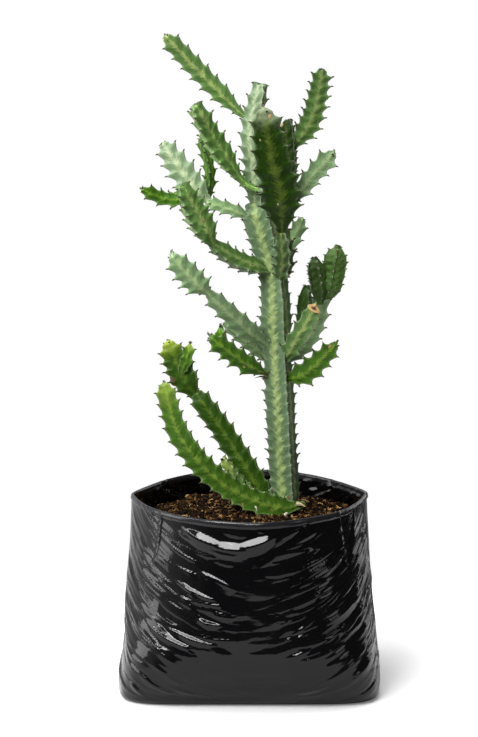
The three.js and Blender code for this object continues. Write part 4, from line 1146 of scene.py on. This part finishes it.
def scabs():
    """The scabs: each a low pad on the skin."""
    spots = [skin_spot(*scab[:3]) for scab in SCABS]
    centre, out, along = (np.array(part) for part in zip(*spots))
    size, tones = np.array([scab[3:5] for scab in SCABS]), np.array([scab[5] for scab in SCABS])
    return low_pads("scabs", centre, out, along, size, 0.16 * size[:, 1] + 0.12, tones, 81)


def shields():
    """The shields: a small pad under each pair of spines, larger on a round-ribbed joint."""
    found = [in_the_open(tooth_points(joint), name) for name, joint in JOINTS.items()]
    white = [float(joint["skin"] == "club") for joint in JOINTS.values()]
    white = np.repeat(white, [len(part) for part in found])
    place, out, along, _ = np.concatenate(found).transpose(1, 0, 2)
    size = np.stack([0.75 + 0.35 * white, 0.55 + 0.4 * white], -1)
    height, tones = np.full(len(white), 0.45), 0.34 + 0.62 * white
    return low_pads("shields", place - 0.15 * out, out, along, size, height, tones, 82)


def dried_points():
    """The dried and pale points: cones with six sides, bent up a little half way."""
    turn = np.arange(POINT_SIDES)[:, None] * 2 * math.pi / POINT_SIDES
    shapes = []
    for foot, point, radius, _ in DRIED:
        foot, way = np.array(foot, float), np.subtract(point, foot).astype(float)
        u = unit(np.cross(unit(way), (0.3, 1.0, 0.2)))
        circle = turned_to(u, np.cross(unit(way), u), turn) * radius
        bend = np.array([0.0, 0.0, 0.12]) * np.linalg.norm(way)
        rings = [foot + circle, foot + 0.5 * way + bend + circle * 0.55]
        shapes.append(np.concatenate([*rings, (foot + way)[None]]))
    tones = np.array([row[3] for row in DRIED])
    return loose_pieces("dried_points", np.array(shapes), ring_faces(POINT_SIDES, 2), tone=tones)


def cut_face():
    """The pruned end: a cap on the last ring of the cut joint, a little raised, with a brown
    middle."""
    joint = JOINTS["right_cut"]
    columns = joint["ribs"] * (2 * FLANK_STEPS + 1 + CAP_STEPS)
    corners = bpy.data.objects["right_cut"].data.vertices[-2 - columns:-2]
    middle, along = (part[0] for part in axis_frames(joint, np.ones(1))[:2])
    spokes = np.array([corner.co for corner in corners]) - middle * MM
    far = np.linalg.norm(spokes, axis=1, keepdims=True)
    spokes = spokes * np.clip(far, *CUT_REACH) / far
    rings = [(middle + along * rise) * MM + spokes * share for share, rise, _ in CUT_RINGS]
    poles = np.array([middle - along * 0.4, middle + along * 0.15]) * MM
    tones = np.repeat([tone for _, _, tone in CUT_RINGS], columns)
    return closed_skin("cut_face", np.array(rings), poles, tone=tones)


skin_trees = {}
cork, _, shader, _ = dry_material("cork", CORK, 700.0, 0.3, (0.6, 0.0004))
shader.inputs["Roughness"].default_value = 0.8
for piece in (scabs(), shields(), dried_points(), cut_face()):
    piece.data.materials.append(cork)
    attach(piece, "root")

# ---------------------------------------------------------------------------------------
# The studio: a plain white floor and soft light from the upper left, with a weaker fill
# from the right and a soft top light. Three more lights gleam on the film alone.
FLOOR_RADIUS = 0.4
FLOOR_CORNERS = 96
FLOOR_WHITES = ((0.93, 0.93, 0.93), (0.95, 0.95, 0.95))
WHITE = (1.0, 1.0, 1.0)
PALE_WALL = (-0.62, 0.62, 0.48)
LIT_MIDDLE = (0.0, 0.0, 0.3)
# Place, width and height, and power of each light. The film's are two long, low strips in
# front and to the left, and a panel behind to the right.
LIGHTS = {
    "key": ((-0.95, -1.35, 1.85), (1.1, 1.1), 50.0),
    "side": ((-1.7, 0.1, 0.5), (0.8, 0.8), 9.0),
    "fill": ((1.6, -0.9, 0.7), (0.6, 0.6), 2.5),
    "top": ((-0.1, -0.1, 2.1), (1.0, 1.0), 18.0),
}
FILM_LIGHTS = [
    ((-0.63, -1.49, 1.17), (2.0, 0.33), 48.0),
    ((-1.65, -0.65, 1.0), (1.2, 0.11), 9.0),
    ((1.3, 1.0, 0.55), (0.9, 0.9), 5.0),
]


def studio_floor():
    """A round sheet of white paper. Round it all is white to the eye, and its own outer part
    is lit up for the eye alone, so that the sheet has no edge and the film mirrors little."""
    turn = np.linspace(0, 2 * math.pi, FLOOR_CORNERS, endpoint=False)
    rim = np.stack([np.cos(turn), np.sin(turn), np.zeros_like(turn)], -1) * FLOOR_RADIUS
    floor = mesh_object("floor", rim, [list(range(FLOOR_CORNERS))])
    material, nodes, shader = new_material("white_paper")
    grain = nodes.noise(nodes.place(), 3.0, 2.0)
    away = nodes.add("VectorMath", {0: nodes.place()}, operation="LENGTH").outputs["Value"]
    seen = nodes.add("LightPath").outputs["Is Camera Ray"]
    glow = nodes.math("MULTIPLY", seen, nodes.band(away, 0.14, 0.37, 0.15, 1.0))
    nodes.feed(shader, {"Base Color": nodes.mix(grain, *FLOOR_WHITES), "Roughness": 0.9})
    nodes.feed(shader, {"Emission Color": WHITE, "Emission Strength": glow})
    floor.data.materials.append(material)


def soft_light(name, place, size, watts):
    """A softbox, size wide and high, that faces the middle of the plant."""
    light = bpy.data.lights.new(name, "AREA")
    light.shape = "RECTANGLE"
    light.size, light.size_y = size
    light.energy = watts
    box = add_object(name, light)
    box.location = place
    x, y, z = np.subtract(LIT_MIDDLE, place)
    pitch = math.atan2(z, math.hypot(x, y)) + math.pi / 2
    box.rotation_euler = (pitch, 0.0, math.atan2(y, x) - math.pi / 2)
    return box


def studio_air():
    """White for the eye. For light and reflections, a pale wall behind, to the left and
    above, and a dim room in front and to the right."""
    world = bpy.data.worlds.new("studio")
    world.use_nodes = True
    bpy.context.scene.world = world
    nodes = Nodes(world.node_tree)
    seen = nodes.add("LightPath").outputs["Is Camera Ray"]
    ends = {0: nodes.add("TexCoord").outputs["Generated"], 1: PALE_WALL}
    toward = nodes.add("VectorMath", ends, operation="DOT_PRODUCT").outputs["Value"]
    strength = nodes.math("MAXIMUM", seen, nodes.band(toward, -0.2, 0.9, 0.05, 0.8))
    nodes.feed(world.node_tree.nodes["Background"], {"Strength": strength, "Color": WHITE})


studio_floor()
studio_air()
for name, light in LIGHTS.items():
    soft_light(name, *light)
film_only = bpy.data.collections.new("film_only")
film_only.objects.link(bag)
for light in FILM_LIGHTS:
    strip = soft_light("strip", *light)
    strip.light_linking.receiver_collection = film_only
    strip.visible_diffuse = False
bpy.context.scene.view_settings.view_transform = "Standard"
